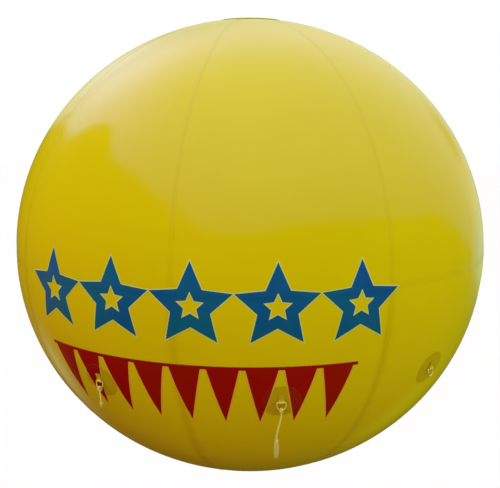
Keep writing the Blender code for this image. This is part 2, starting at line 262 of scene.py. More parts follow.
def add_surface(name, grids, wrap_rows=False, wrap_columns=False, closed=True, uv=None,
                traits=None):
    """One mesh from grids of shape (rows, columns, 3), or (batch, rows, columns, 3).

    uv holds two numbers for each corner of the grid, with one more row or column where that
    way wraps. traits are named arrays with one number for each point.
    """
    grids = np.asarray(grids, float)
    if grids.ndim == 3:
        grids = grids[None]
    batch, rows, columns = grids.shape[:3]
    row, column = grid_corners(rows - (not wrap_rows), columns - (not wrap_columns))
    one = (row % rows) * columns + column % columns
    faces = (one[None] + (np.arange(batch) * rows * columns)[:, None, None]).reshape(-1, 4)
    mesh = bpy.data.meshes.new(name)
    mesh.vertices.add(batch * rows * columns)
    mesh.vertices.foreach_set("co", grids.ravel())
    mesh.loops.add(faces.size)
    mesh.loops.foreach_set("vertex_index", faces.ravel().astype(np.int32))
    mesh.polygons.add(len(faces))
    mesh.polygons.foreach_set("loop_start", np.arange(0, faces.size, 4, dtype=np.int32))
    mesh.update(calc_edges=True)
    if uv is not None:
        layer = mesh.uv_layers.new(name="along")
        corner = np.broadcast_to(np.asarray(uv)[row, column][None], (batch, len(row), 4, 2))
        layer.data.foreach_set("uv", corner.ravel())
    for trait, values in (traits or {}).items():
        add_trait(mesh, trait, np.broadcast_to(values, grids.shape[:3]))
    work = bmesh.new()
    work.from_mesh(mesh)
    bmesh.ops.remove_doubles(work, verts=work.verts, dist=merge_distance)
    if closed:
        bmesh.ops.recalc_face_normals(work, faces=work.faces)
    work.to_mesh(mesh)
    work.free()
    mesh.shade_smooth()
    obj = bpy.data.objects.new(name, mesh)
    bpy.context.scene.collection.objects.link(obj)
    return obj


# %% [markdown]
# Each finished piece is given three things: its finish, the body it moves with, and the plain
# solids it replaces, which are hidden. That could be written after each piece, but one helper
# keeps any of them from being forgotten. Corners sharper than an angle are kept sharp, and all
# others are shaded smooth.

# %% Finished pieces
def finish_piece(obj, finish, body, slot, *nodes, sharp=None):
    """Gives a piece its finish, its body and the solids it stands for. The slot is not used."""
    obj.data.materials.append(finish)
    if sharp is not None:
        obj.data.set_sharp_from_angle(angle=np.radians(sharp))
    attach(obj, body)
    if nodes:
        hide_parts(*nodes)
    return obj


print("pieces can be finished for", len(frame["nodes"]), "solids")

# %% [markdown]
# Wire and cord are a circle carried along a path. A curve object with a round bevel does that
# too, but it can't carry a braid. At each point the path's direction and one reference
# direction that never lies along it give two axes across the tube, and the circle is drawn in
# those. The radius may change along the tube and around it, for a braid or a taper.

# %% Tubes
def smooth_step(share):
    """3 s squared - 2 s cubed, which leaves 0 and reaches 1 without a corner."""
    return 3 * share ** 2 - 2 * share ** 3


def along_path(path, closed):
    """Unit directions along a path, by differences between its neighbouring points."""
    if closed:
        step = np.roll(path, -1, axis=-2) - np.roll(path, 1, axis=-2)
    else:
        step = np.gradient(path, axis=-2)
    return step / np.linalg.norm(step, axis=-1, keepdims=True)


def tube_points(path, radius, sides, reference, closed=False):
    """Circles round a path, shape (..., rows, sides, 3), with both ends drawn to a point."""
    ahead = along_path(path, closed)
    across = reference - (reference * ahead).sum(-1, keepdims=True) * ahead
    across = across / np.linalg.norm(across, axis=-1, keepdims=True)
    beside = np.cross(ahead, across)
    turn = 2 * np.pi * np.arange(sides) / sides
    circle = (across[..., None, :] * np.cos(turn)[:, None]
              + beside[..., None, :] * np.sin(turn)[:, None])
    radius = np.broadcast_to(np.asarray(radius), circle.shape[:-1])
    points = path[..., None, :] + circle * radius[..., None]
    if closed:
        return points
    first = np.repeat(path[..., :1, None, :], sides, axis=-2)
    last = np.repeat(path[..., -1:, None, :], sides, axis=-2)
    return np.concatenate([first, points, last], axis=-3)


def path_run(path):
    """How far along a path each of its points lies: the running sum of its steps."""
    return np.concatenate([[0.0], np.cumsum(np.linalg.norm(np.diff(path, axis=0), axis=1))])


def path_length(path):
    """The sum of a path's steps."""
    return float(np.linalg.norm(np.diff(path, axis=0), axis=1).sum())


def even_path(path, count):
    """The same path with its points evenly spaced, found by the share of its run."""
    run = path_run(path)
    wanted = np.linspace(0.0, run[-1], count)
    return np.stack([np.interp(wanted, run, path[:, k]) for k in range(path.shape[1])], axis=-1)


print("a path of 3 and 4 is as long as", path_length(np.array([[0.0, 0.0], [3.0, 4.0]])))

# %% [markdown]
# A finish is a Principled shader with a few nodes that read the piece's own coordinates. They
# could be placed by hand in the node editor. In a script, small helpers keep each finish to the
# lines that matter: which noise drives its colour, its gloss and its bump.

# %% Node helpers
def add_node(tree, kind, inputs=None, **settings):
    """A node of a kind: each input is a value, or a socket of another node to link it to."""
    made = tree.nodes.new(kind)
    for key, value in settings.items():
        setattr(made, key, value)
    for socket, value in (inputs or {}).items():
        if isinstance(value, bpy.types.NodeSocket):
            tree.links.new(value, made.inputs[socket])
        else:
            made.inputs[socket].default_value = value
    return made


def start_finish(name, **constants):
    """A material, its tree and its shader, with constants set on the shader's own sockets."""
    material = bpy.data.materials.new(name)
    material.use_nodes = True
    tree = material.node_tree
    shader = tree.nodes["Principled BSDF"]
    for socket, value in constants.items():
        shader.inputs[socket.replace("_", " ")].default_value = value
    return material, tree, shader


def spread(tree, value, low, high, from_low=0.0, from_high=1.0):
    """A value stretched evenly from one range to another, and held inside the second."""
    inputs = {"Value": value, "From Min": from_low, "From Max": from_high,
              "To Min": low, "To Max": high}
    return add_node(tree, "ShaderNodeMapRange", inputs).outputs["Result"]


def blend_colours(tree, factor, first, second):
    """The first colour at a factor of 0 and the second at 1, each a colour or a socket."""
    mixed = add_node(tree, "ShaderNodeMix", data_type="RGBA")
    sockets = mixed.inputs
    for socket, value in ((sockets[0], factor), (sockets[6], first), (sockets[7], second)):
        if isinstance(value, bpy.types.NodeSocket):
            tree.links.new(value, socket)
        else:
            socket.default_value = value if isinstance(value, float) else (*value, 1.0)
    return mixed.outputs[2]


def noise(tree, coordinates, scale, detail=2.0, roughness=0.5, distortion=0.0):
    """Soft noise from 0 to 1, with about as many lumps to a metre as its scale."""
    inputs = {"Vector": coordinates, "Scale": scale, "Detail": detail, "Roughness": roughness,
              "Distortion": distortion}
    return add_node(tree, "ShaderNodeTexNoise", inputs).outputs["Fac"]


def bump(tree, height, strength, distance, under=None):
    """The normal tilted by the slope of a height, on top of the one under it."""
    inputs = {"Height": height, "Strength": strength, "Distance": distance}
    if under is not None:
        inputs["Normal"] = under
    return add_node(tree, "ShaderNodeBump", inputs).outputs["Normal"]


def object_coordinates(tree):
    """The piece's own coordinates in metres."""
    return add_node(tree, "ShaderNodeTexCoord").outputs["Object"]


print("node helpers ready")

# %% [markdown]
# The envelope is calendered PVC film, dyed through. It is glossy, with the faint waviness that
# a film keeps from its roll, and its colour drifts a little because light comes through it. One
# flat yellow would look moulded, and a shader that scatters light inside would be slow and show
# no more, so slow noise gives the drift. A patch or a band is two films thick and looks deeper.
# One function makes all of them, so that they stay one family.

# %% Film finishes
film_yellow = (0.770, 0.620, 0.0006)
film_deep = (0.745, 0.590, 0.0005)
band_yellow = (0.745, 0.595, 0.0006)
band_deep = (0.720, 0.565, 0.0005)
patch_yellow = (0.600, 0.436, 0.0004)
patch_deep = (0.540, 0.380, 0.0004)
# Painted shade along the upright seams below the equator, mixed in by the shade trait.
seam_painted_shade = (0.690, 0.530, 0.0004)
film_index = 1.47
film_gloss = (0.10, 0.16)
band_gloss = (0.12, 0.18)
patch_gloss = (0.18, 0.26)
drift_scale = 1.3
haze_scale = 9.0
wave_scale = 7.0
grain_scale = 160.0
rib_scale = 110.0


def make_film(name, colour, deep, gloss, ribs=False):
    """Film: colour drifts on metre-wide noise and takes painted shade at seams, with a wavy fine
    bump.
    """
    material, tree, shader = start_finish(name, IOR=film_index)
    coordinates = object_coordinates(tree)
    drift = noise(tree, coordinates, drift_scale, detail=3.0)
    cloud = spread(tree, drift, 0.0, 1.0, 0.35, 0.65)
    # Painted shade: the shade trait darkens the seams below the equator.
    shade = add_node(tree, "ShaderNodeAttribute", attribute_name="shade").outputs["Fac"]
    drifting = blend_colours(tree, cloud, colour, deep)
    tree.links.new(blend_colours(tree, shade, drifting, seam_painted_shade), shader.inputs["Base Color"])
    haze = noise(tree, coordinates, haze_scale, detail=4.0)
    tree.links.new(spread(tree, haze, *gloss, 0.3, 0.7), shader.inputs["Roughness"])
    waves = noise(tree, coordinates, wave_scale, detail=2.0)
    grain = noise(tree, coordinates, grain_scale, detail=2.0)
    normal = bump(tree, waves, 0.10, 0.004)
    normal = bump(tree, grain, 0.05, 0.0004, normal)
    if ribs:
        along = add_node(tree, "ShaderNodeUVMap", uv_map="along").outputs["UV"]
        inputs = {"Vector": along, "Scale": rib_scale, "Distortion": 0.3}
        pressed = add_node(tree, "ShaderNodeTexWave", inputs, wave_type="BANDS",
                           bands_direction="X", wave_profile="SIN")
        normal = bump(tree, pressed.outputs["Fac"], 0.30, 0.0003, normal)
    tree.links.new(normal, shader.inputs["Normal"])
    return material


film_finish = make_film("glossy_film", film_yellow, film_deep, film_gloss)
band_finish = make_film("weld_band_film", band_yellow, band_deep, band_gloss, ribs=True)
patch_finish = make_film("patch_film", patch_yellow, patch_deep, patch_gloss)
print("film finishes made")

# %% [markdown]
# A tether is braided from strands that run round it both ways. A picture of a braid would
# stretch and blur close by, so the mesh itself carries the braid and tells the finish, through
# an attribute, how near a crown each point is. The grooves get painted shade, fine fibres run
# along it, and handling has greyed it here and there. The straps' webbing is two waves across
# each other on the UV map, scuffed pale where the ring's bar rubs.

# %% Cord and strap finishes
cord_pale = (0.930, 0.850, 0.500)
# cord_shaded is painted shade for the braid's grooves.
cord_shaded = (0.440, 0.330, 0.130)
cord_worn = (0.660, 0.560, 0.320)
strap_yellow = (0.640, 0.490, 0.020)
strap_deep = (0.520, 0.380, 0.010)
strap_scuffed = (0.900, 0.780, 0.440)
wear_scale = 90.0
fibre_scale = 1400.0
warp_scale = 110.0
weft_scale = 160.0


def make_cord_finish():
    """Braided cord: painted shade towards the grooves, greyed in places, with fine fibres along it.
    """
    material, tree, shader = start_finish("braided_cord", Sheen_Weight=0.3, Specular_IOR_Level=0.3)
    coordinates = object_coordinates(tree)
    crown = add_node(tree, "ShaderNodeAttribute", attribute_name="crown").outputs["Fac"]
    # Painted shade: most in a groove, none on a crown.
    shade = spread(tree, crown, 0.75, 0.0)
    wear = spread(tree, noise(tree, coordinates, wear_scale, detail=4.0), 0.0, 0.45, 0.35, 0.7)
    colour = blend_colours(tree, shade, cord_pale, cord_shaded)
    colour = blend_colours(tree, wear, colour, cord_worn)
    tree.links.new(colour, shader.inputs["Base Color"])
    tree.links.new(spread(tree, wear, 0.70, 0.92), shader.inputs["Roughness"])
    fibres = noise(tree, coordinates, fibre_scale, detail=2.0)
    tree.links.new(bump(tree, fibres, 0.4, 0.0002), shader.inputs["Normal"])
    return material


def make_strap_finish():
    """Coated webbing: a plain weave under a skin, from two waves across each other on the UVs."""
    material, tree, shader = start_finish("coated_webbing", Specular_IOR_Level=0.4)
    along = add_node(tree, "ShaderNodeUVMap", uv_map="along").outputs["UV"]
    warp = add_node(tree, "ShaderNodeTexWave", {"Vector": along, "Scale": warp_scale},
                    bands_direction="X")
    weft = add_node(tree, "ShaderNodeTexWave", {"Vector": along, "Scale": weft_scale},
                    bands_direction="Y")
    weave = add_node(tree, "ShaderNodeMath", {0: warp.outputs["Fac"], 1: weft.outputs["Fac"]},
                     operation="MULTIPLY").outputs[0]
    worn = noise(tree, object_coordinates(tree), 60.0, detail=3.0)
    colour = blend_colours(tree, spread(tree, worn, 0.1, 0.8, 0.3, 0.7), strap_yellow, strap_deep)
    scuff = add_node(tree, "ShaderNodeAttribute", attribute_name="scuff").outputs["Fac"]
    patchy = add_node(tree, "ShaderNodeMath", {0: scuff, 1: spread(tree, worn, 0.6, 1.0, 0.3, 0.6)},
                      operation="MULTIPLY").outputs[0]
    tree.links.new(blend_colours(tree, patchy, colour, strap_scuffed), shader.inputs["Base Color"])
    tree.links.new(spread(tree, weave, 0.62, 0.42), shader.inputs["Roughness"])
    tree.links.new(bump(tree, weave, 0.5, 0.0003), shader.inputs["Normal"])
    return material


cord_finish = make_cord_finish()
strap_finish = make_strap_finish()
print("cord and strap finishes made")

# %% [markdown]
# Each ring swings on its bar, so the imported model's joints already say where every fitting
# sits. The places could be typed in again, but then two lists would have to agree. The film's
# point under a bar follows from the joint: an ellipse that is larger by the bar's height passes
# through the bar at the same angle.

# %% Places of the fittings
ring_wire_radius = 0.003
ring_width = 0.039
ring_drop = 0.034
ring_corner = 0.005
keeper_play = 0.0004
keeper_wall = 0.002
patch_thickness = 0.0015
gap = 0.0003
bar_height = gap + ring_wire_radius + keeper_play + keeper_wall


def find_fitting(number):
    """Azimuth, angle, frame and lift of a fitting, from where its ring's joint is."""
    joint = joints["ring_%d_swing" % number]
    bar = np.array(joint["pos_m"], float)
    along = -np.array(joint["axis"], float)
    azimuth = np.arctan2(bar[0], -bar[1])
    reach = patch_thickness + bar_height
    level = np.hypot(bar[0], bar[1]) / (film_radius + reach)
    angle = np.arctan2(bar[2] / (film_half_height + reach), level)
    point, out = film_frame(azimuth, angle)
    lift = float((bar - point) @ out) - reach
    return {"number": number, "bar": bar, "along": along, "azimuth": azimuth, "angle": angle,
            "point": point, "out": out, "rise": np.cross(out, along), "lift": lift}


fittings = [find_fitting(number) for number in range(1, 9)]
for fitting in fittings[:2]:
    print("fitting", fitting["number"], "azimuth", round(float(np.degrees(fitting["azimuth"])), 1),
          "lift mm", round(fitting["lift"] * 1000, 2))

# %% [markdown]
# Each of the two cords is a short 7 mm braid that hangs from a hitch on its ring and ends in a
# knot with a frayed tail. It could be simulated as a chain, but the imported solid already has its
# route: straight down, with a smooth sideways drift. The surface is a tube whose radius follows
# two families of ridges that wind round it in opposite ways, and the higher of the two shows,
# as in a braid.

# %% Cords
cord_radius = 0.0035
hitch_play = 0.0008
cord_route_points = 17
cord_step = 0.0011
cord_sides = 48
end_round = 0.6
braid_ridges = 8
braid_pitch = 0.021
braid_depth = 0.07
tie_length = {1: 0.112, 2: 0.046}
tie_drift = {1: -0.020, 2: 0.006}


def cord_route(fitting):
    """Down from the hitch by the cord's length, drifting sideways as 3 s squared - 2 s cubed."""
    number = fitting["number"]
    top = fitting["bar"] - up * ring_drop
    hitch_outside = ring_wire_radius + hitch_play + 2 * cord_radius
    start = top - up * (hitch_outside + cord_radius + gap)
    share = np.linspace(0.0, 1.0, cord_route_points)[:, None]
    sideways = tie_drift[number] * smooth_step(share)
    return start + fitting["along"] * sideways - up * (tie_length[number] * share)


def smooth_path(points, count):
    """A finer path through the same points, by a cubic through each four neighbours."""
    n = len(points)
    place = np.linspace(0, n - 1, count)
    i = np.clip(place.astype(int), 0, n - 2)
    t = (place - i)[:, None]
    before, here = points[np.clip(i - 1, 0, n - 1)], points[i]
    there, after = points[i + 1], points[np.clip(i + 2, 0, n - 1)]
    slope = there - before
    squared = 2 * before - 5 * here + 4 * there - after
    cubed = 3 * here - before - 3 * there + after
    return 0.5 * (2 * here + slope * t + squared * t ** 2 + cubed * t ** 3)


def braid(run, turn, ridges=braid_ridges):
    """Height of the braid, from 0 in a groove to 1 on a crown, at a run along and a turn round."""
    lean = 2 * np.pi * run / braid_pitch * ridges / 4
    right = np.cos(ridges * turn + lean)
    left = np.cos(ridges * turn - lean)
    return 0.5 + 0.5 * np.maximum(right, left)


def braid_size(radius, crown, depth):
    """The radius of a braid: full on a crown, and less by a share, its depth, in a groove."""
    return radius * (1.0 - depth + depth * crown)


def braided_tube(name, path, radius, sides, reference):
    """A tube whose radius rises and falls with the braid, with each end rounded like a circle."""
    run = path_run(path)[:, None]
    turn = 2 * np.pi * np.arange(sides) / sides
    crown = braid(run, turn)
    edge = np.minimum(run, run[-1] - run) / (end_round * radius)
    rounded = np.sqrt(np.clip(1.0 - (1.0 - np.clip(edge, 0.0, 1.0)) ** 2, 0.04, 1.0))
    points = tube_points(path, braid_size(radius, crown, braid_depth) * rounded, sides, reference)
    crown = np.pad(crown, ((1, 1), (0, 0)), "edge")
    return add_surface(name, points, wrap_columns=True, traits={"crown": crown})


def add_cord(fitting):
    """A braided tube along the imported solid's route, and the path that it follows."""
    number = fitting["number"]
    path = smooth_path(cord_route(fitting), int(tie_length[number] / cord_step))
    cord = braided_tube("cord_%d" % number, path, cord_radius, cord_sides, fitting["out"])
    finish_piece(cord, cord_finish, "ring_%d" % number, "cord", "tie_cord_%d" % number)
    return cord, path


print("braid on a crown and in a groove:", braid(0.0, 0.0), round(braid(0.0, np.pi / 8), 2))

# %% [markdown]
# The knot is drawn as a closed trefoil, the shape that an overhand knot pulls down to. A lump
# would be simpler, but the crossings are what makes it look tied. Below it the braid has come
# apart. Hair particles wouldn't be kept as a mesh, so each strand is a thin tapering tube that
# starts in the knot, spreads, waves and ends at its own length. The strands are one batch of
# equal grids, with their angles, reaches and waves drawn from a seeded generator.

# %% Knots and tails
tail_drop = {1: 0.088, 2: 0.026}
tail_spread = {1: 0.0085, 2: 0.0042}
knot_drop = 0.0058
knot_ring = 0.0040
knot_bulge = 0.0024
knot_cord = 0.0026
knot_depth = 0.08
knot_rise = 1.7
knot_sides = 20
fray_seed = 40
fray_waist = 0.0012
fray_wave = 0.0011
fray_swing = 0.9
strand_count = {1: 64, 2: 36}
strand_rows = 16
strand_sides = 4
strand_radius = 0.00085
tail_start = 0.17


def knot_path(centre, out, side, count=150):
    """A trefoil: twice round a small ring while going three times through it."""
    turn = 2 * np.pi * np.arange(count) / count
    reach = knot_ring + knot_bulge * np.cos(3 * turn)
    level = out * np.cos(2 * turn)[:, None] + side * np.sin(2 * turn)[:, None]
    rise = knot_rise * knot_bulge * np.sin(3 * turn)
    path = centre + level * reach[:, None] + up * rise[:, None]
    reference = level * np.cos(3 * turn)[:, None] + up * np.sin(3 * turn)[:, None]
    return path, reference


def add_knot(fitting, centre):
    """The trefoil as a closed tube of the same braid, only shallower."""
    number = fitting["number"]
    path, reference = knot_path(centre, direction(fitting["azimuth"], 0.0), fitting["along"])
    turn = 2 * np.pi * np.arange(knot_sides) / knot_sides
    run = np.linspace(0.0, path_length(path), len(path))[:, None]
    crown = braid(run, turn)
    size = braid_size(knot_cord, crown, knot_depth)
    points = tube_points(path, size, knot_sides, reference, closed=True)
    knot = add_surface("knot_%d" % number, points, wrap_rows=True, wrap_columns=True,
                       traits={"crown": crown})
    return finish_piece(knot, cord_finish, "ring_%d" % number, "cord", "tie_tail_%d" % number)


def add_fray(fitting, centre):
    """Strands that hang from the knot: spread by a sine, waved, and thinned by sqrt(1 - s ** 3)."""
    number = fitting["number"]
    out, side = direction(fitting["azimuth"], 0.0), fitting["along"]
    rng = np.random.default_rng(fray_seed + number)
    strands = strand_count[number]
    share = np.linspace(0.0, 1.0, strand_rows)[None, :]
    facing = rng.uniform(0, 2 * np.pi, (strands, 1))
    reach = tail_spread[number] * np.sqrt(rng.uniform(0.02, 1.0, (strands, 1)))
    foot = (tail_drop[number] - knot_drop) * rng.uniform(0.72, 0.99, (strands, 1))
    bend = rng.uniform(-1.0, 1.0, (strands, 1))
    spreading = reach * np.sin(np.pi * (tail_start + share * 0.5)) + fray_waist
    waves = share * rng.uniform(0.6, 1.6, (strands, 1))
    wave = fray_wave * np.sin(2 * np.pi * waves + facing * 3)
    swing = facing + fray_swing * bend * share
    x = (spreading + wave * share) * np.cos(swing)
    y = (spreading + wave * share) * np.sin(swing)
    z = -foot * share
    paths = centre + out * x[..., None] + side * y[..., None] + up * z[..., None]
    thin = np.sqrt(np.clip(1.0 - share ** 3, 0.05, 1.0))
    size = strand_radius * thin * rng.uniform(0.7, 1.2, (strands, 1))
    points = tube_points(paths, size[..., None], strand_sides, out + 0.3 * side)
    # Painted shade: each strand takes a random small share of the cord's shaded colour.
    crown = rng.uniform(0.7, 1.0, (strands, 1, 1))
    fray = add_surface("fray_%d" % number, points, wrap_columns=True, traits={"crown": crown})
    return finish_piece(fray, cord_finish, "ring_%d" % number, "cord")


for fitting in fittings[:2]:
    cord, path = add_cord(fitting)
    centre = path[-1] - up * gap - up * knot_drop
    tail = [add_knot(fitting, centre), add_fray(fitting, centre)]

# %% [markdown]
# A round turn and a half hitch hold each cord on its ring: the cord winds twice round the
# ring's wire, and then once round itself below. A torus for each turn would leave gaps between
# them, so the winding is one helix about the wire, and the hitch a small ring about the cord,
# both braided like the rest.

# %% Hitches
hitch_radius = ring_wire_radius + hitch_play + cord_radius
hitch_pitch = 0.0066
hitch_turns = 2.0
hitch_squeeze = 0.93
hitch_rows = 130
hitch_sides = 28
loop_radius = 1.55 * cord_radius
loop_drop = 1.1 * cord_radius
loop_tilt = 0.0012
loop_cord = 0.0024
loop_rows = 72
loop_sides = 24


def add_winding(fitting):
    """A helix about the wire: level and height by sine and cosine, and its drift along the wire."""
    number = fitting["number"]
    out, side = direction(fitting["azimuth"], 0.0), fitting["along"]
    foot = fitting["bar"] - up * ring_drop
    share = np.linspace(0.0, 1.0, hitch_rows)[:, None]
    turn = 2 * np.pi * hitch_turns * share - np.pi / 2
    drift = hitch_pitch * hitch_turns * (share - 0.5)
    sag = -0.5 * drift ** 2 / (ring_width / 2)
    path = foot + out * (hitch_radius * np.cos(turn)) + up * (hitch_radius * np.sin(turn) - sag)
    path = path + side * drift
    winding = braided_tube("winding_%d" % number, path, cord_radius * hitch_squeeze, hitch_sides,
                           side)
    finish_piece(winding, cord_finish, "ring_%d" % number, "cord", "tie_hitch_%d" % number)


def add_half_hitch(fitting):
    """A level circle round the cord, tilted by a cosine, just under the winding."""
    number = fitting["number"]
    out, side = direction(fitting["azimuth"], 0.0), fitting["along"]
    centre = fitting["bar"] - up * ring_drop - up * (hitch_radius + loop_drop)
    around = 2 * np.pi * np.arange(loop_rows)[:, None] / loop_rows
    loop = centre + out * (loop_radius * np.cos(around)) + side * (loop_radius * np.sin(around))
    loop = loop + up * (loop_tilt * np.cos(around))
    run = np.linspace(0.0, path_length(loop), loop_rows)[:, None]
    crown = braid(run, 2 * np.pi * np.arange(loop_sides) / loop_sides)
    size = braid_size(loop_cord, crown, braid_depth)
    points = tube_points(loop, size, loop_sides, up, closed=True)
    half = add_surface("half_hitch_%d" % number, points, wrap_rows=True, wrap_columns=True,
                       traits={"crown": crown})
    finish_piece(half, cord_finish, "ring_%d" % number, "cord")


for fitting in fittings[:2]:
    add_winding(fitting)
    add_half_hitch(fitting)
print("hitches made: 2")

# %% [markdown]
# Each gore is welded from an upper and a lower panel. One closed sphere would look the same
# from afar, but the real seams are where separate panels end, half a millimetre short of the
# seam, under the weld bands. A panel is the film's formula over one gore's azimuths, from the
# equator to the polar hole, with the relief added, and a Solidify modifier gives it the packed
# model's wall.

# %% Film panels
panel_rows = 128
panel_columns = 52
polar_hole_radius = 0.060
seam_clearance = 0.0006
shell_thickness = 0.010
seam_crowding = 0.4


def add_panel(gore, side):
    """Azimuth across the gore, denser near its seams, and angle from the equator to the hole."""
    top = angle_at_radius(polar_hole_radius)
    angle = side * np.linspace(seam_clearance / film_half_height, top, panel_rows)[:, None]
    middle = gore * gore_angle
    half = gore_angle / 2 - seam_clearance / (film_radius * np.cos(angle))
    even = np.linspace(-1.0, 1.0, panel_columns)[None, :]
    crowded = (1.0 - seam_crowding) * even + seam_crowding * np.sin(np.pi / 2 * even)
    azimuth = middle + half * crowded
    angle = np.broadcast_to(angle, azimuth.shape)
    points = film_points(azimuth, angle, film_relief(azimuth, angle))
    shade = seam_shade(azimuth, angle)
    if side < 0:
        points, shade = points[:, ::-1], shade[:, ::-1]
    half_name = "upper" if side > 0 else "lower"
    obj = add_surface("%s_film_%d" % (half_name, gore + 1), points, closed=False,
                      traits={"shade": shade})
    wall = obj.modifiers.new("wall", "SOLIDIFY")
    wall.thickness = shell_thickness
    wall.offset = -1.0
    node = "%s_panel_%d" % (half_name, gore + 1)
    return finish_piece(obj, film_finish, "root", "film", node, sharp=40)


for gore in range(gore_count):
    for side in (1, -1):
        add_panel(gore, side)
print("film panels made, each of", (panel_rows - 1) * (panel_columns - 1), "squares a side")

# %% [markdown]
# Bands, patches and print are all thin pieces that lie on the film, and where one crosses
# another it steps up over it. A Shrinkwrap modifier could press them on, but it follows facets
# and lets edges sink in. A height function is exact: it says how high the surface below is,
# with a soft ramp at the edge of each band.

# %% Lying on the film
upright_band_width = 0.020
level_band_width = 0.028
band_thickness = 0.0010
band_ramp = 0.018


def ramp(distance, half):
    """1 over a band, falling to 0 by half a cosine wave beyond its edge."""
    share = np.clip((distance - half) / band_ramp, 0.0, 1.0)
    return 0.5 + 0.5 * np.cos(np.pi * share)


def lie_on(azimuth, angle, over_upright, over_level):
    """Height of what lies under a piece: the relief, and each band that the piece goes over."""
    upright = ramp(seam_distance(azimuth, angle), upright_band_width / 2)
    level = ramp(equator_distance(angle), level_band_width / 2)
    step = band_thickness + gap
    return film_relief(azimuth, angle) + gap + step * (upright * over_upright + level * over_level)


print("step over a band, mm:", round((band_thickness + gap) * 1000, 2))

# %% [markdown]
# Two builders cover every thin piece: a strip, which is a closed cross-section carried along a
# line on the film, and a badge, which is an outline round a centre. A curve with a profile
# object makes a strip too, but it would turn with the curve's own normals, and not with the
# film's. Here each point of the section is placed on the film on its own. The ends of a strip
# are drawn together on their middles, so that it is closed.

# %% Strips
pressed_reach = 0.0085
pressed_edge = 0.00015
pressed_foot = 0.55


def rounded_section(width, thickness, edge_points=3, flat_points=5):
    """A flat cross-section with round edges, walked once round, as offsets across and up."""
    radius = thickness / 2
    half = width / 2 - radius
    bend = np.linspace(-np.pi / 2, np.pi / 2, edge_points + 2)
    right = np.stack([half + radius * np.cos(bend), radius + radius * np.sin(bend)], axis=-1)
    over = np.linspace(half, -half, flat_points + 2)[1:-1]
    top = np.stack([over, np.full_like(over, thickness)], axis=-1)
    left = np.stack([-half - radius * np.cos(-bend), radius + radius * np.sin(-bend)], axis=-1)
    under = np.stack([-over, np.zeros_like(over)], axis=-1)
    return np.concatenate([right, top, left, under])


def pressed_section(width, height, points=15):
    """A weld band's section: its middle full, and its edges pressed thin by a smooth step."""
    half = width / 2
    over = np.linspace(half, -half, points)
    share = np.clip((half - np.abs(over)) / pressed_reach, 0.0, 1.0)
    foot = -pressed_foot * gap
    top = foot + pressed_edge + (height - foot - pressed_edge) * smooth_step(share)
    under = np.linspace(-half + pressed_edge / 2, half - pressed_edge / 2, 5)
    return np.concatenate([np.stack([over, top], axis=-1),
                           np.stack([under, np.full_like(under, foot)], axis=-1)])


def close_ends(points):
    """The same rows with one more at each end, drawn together on the end's middle."""
    middle = points.mean(axis=1, keepdims=True)
    return np.concatenate([np.broadcast_to(middle[:1], points[:1].shape), points,
                           np.broadcast_to(middle[-1:], points[:1].shape)])


def repeat_ends(rows):
    """The same rows with the first and the last one twice, to go with closed ends."""
    return np.concatenate([rows[:1], rows, rows[-1:]])


def add_strip(name, azimuth, angle, east, north, width, section, over_upright, over_level,
              wrap=False, shade=None):
    """A closed section carried along a line on the film. East and north point across the line."""
    place_azimuth, place_angle = step_beside(azimuth[:, None], angle[:, None], east * section[:, 0],
                                             north * section[:, 0])
    height = lie_on(place_azimuth, place_angle, over_upright, over_level) + section[:, 1]
    points = film_points(place_azimuth, place_angle, height)
    run = np.linspace(0.0, path_length(points.mean(axis=1)), len(points) + wrap)
    reach = np.linspace(0.0, 2 * width, len(section) + 1)
    uv = np.stack(np.broadcast_arrays(run[:, None], reach[None, :]), axis=-1)
    if not wrap:
        points, uv = close_ends(points), repeat_ends(uv)
    traits = None
    if shade is not None:
        traits = {"shade": repeat_ends(shade)[:, None]}
    return add_surface(name, points, wrap_rows=wrap, wrap_columns=True, uv=uv, traits=traits)


print("points round a band's section:", len(pressed_section(upright_band_width, band_thickness)))

# %% [markdown]
# A strip of film is welded over each seam, 20 mm wide on the upright seams and 28 mm on the
# equator. The electrode presses its edges thin and leaves fine ribs across it. The thin edges
# are part of the cross-section, because they catch the light. The ribs are too fine for a mesh,
# so the finish draws them along the strip's UV map.

# %% Weld bands
weld_end_radius = 0.066
pressed_height = 0.0004
level_height = 0.0002
upright_band_rows = 220
level_band_rows = 900
level_band_points = 19
band_sharp = 30


def add_upright_band(seam):
    """The pressed section along a line of one azimuth, from near the foot to near the top."""
    end = angle_at_radius(weld_end_radius)
    angle = np.linspace(-end, end, upright_band_rows)
    azimuth = np.full_like(angle, (seam + 0.5) * gore_angle)
    section = pressed_section(upright_band_width, pressed_height)
    band = add_strip("upright_band_%d" % (seam + 1), azimuth, angle, 1.0, 0.0,
                     upright_band_width, section, 0.0, 0.0, shade=seam_shade(azimuth, angle))
    finish_piece(band, band_finish, "root", "weld_film", "meridian_weld_%d" % (seam + 1),
                 sharp=band_sharp)


def add_level_band():
    """The pressed section once round the equator, over the upright bands."""
    azimuth = 2 * np.pi * np.arange(level_band_rows) / level_band_rows
    section = pressed_section(level_band_width, level_height, points=level_band_points)
    band = add_strip("level_band", azimuth, np.zeros_like(azimuth), 0.0, 1.0,
                     level_band_width, section, 1.0, 0.0, wrap=True)
    finish_piece(band, band_finish, "root", "weld_film", "equator_weld", sharp=band_sharp)


for seam in range(gore_count):
    add_upright_band(seam)
add_level_band()
print("weld bands made:", gore_count + 1)

# %% [markdown]
# A patch, a star or a pennant is an outline that can be seen whole from its centre, so one
# function of the direction gives how far it reaches. A filled curve would have to be cut finer
# before it could bend with the film. The grid bends by itself: it runs from the centre to the
# rim on top, over the rim, and back to the centre underneath, which closes it.

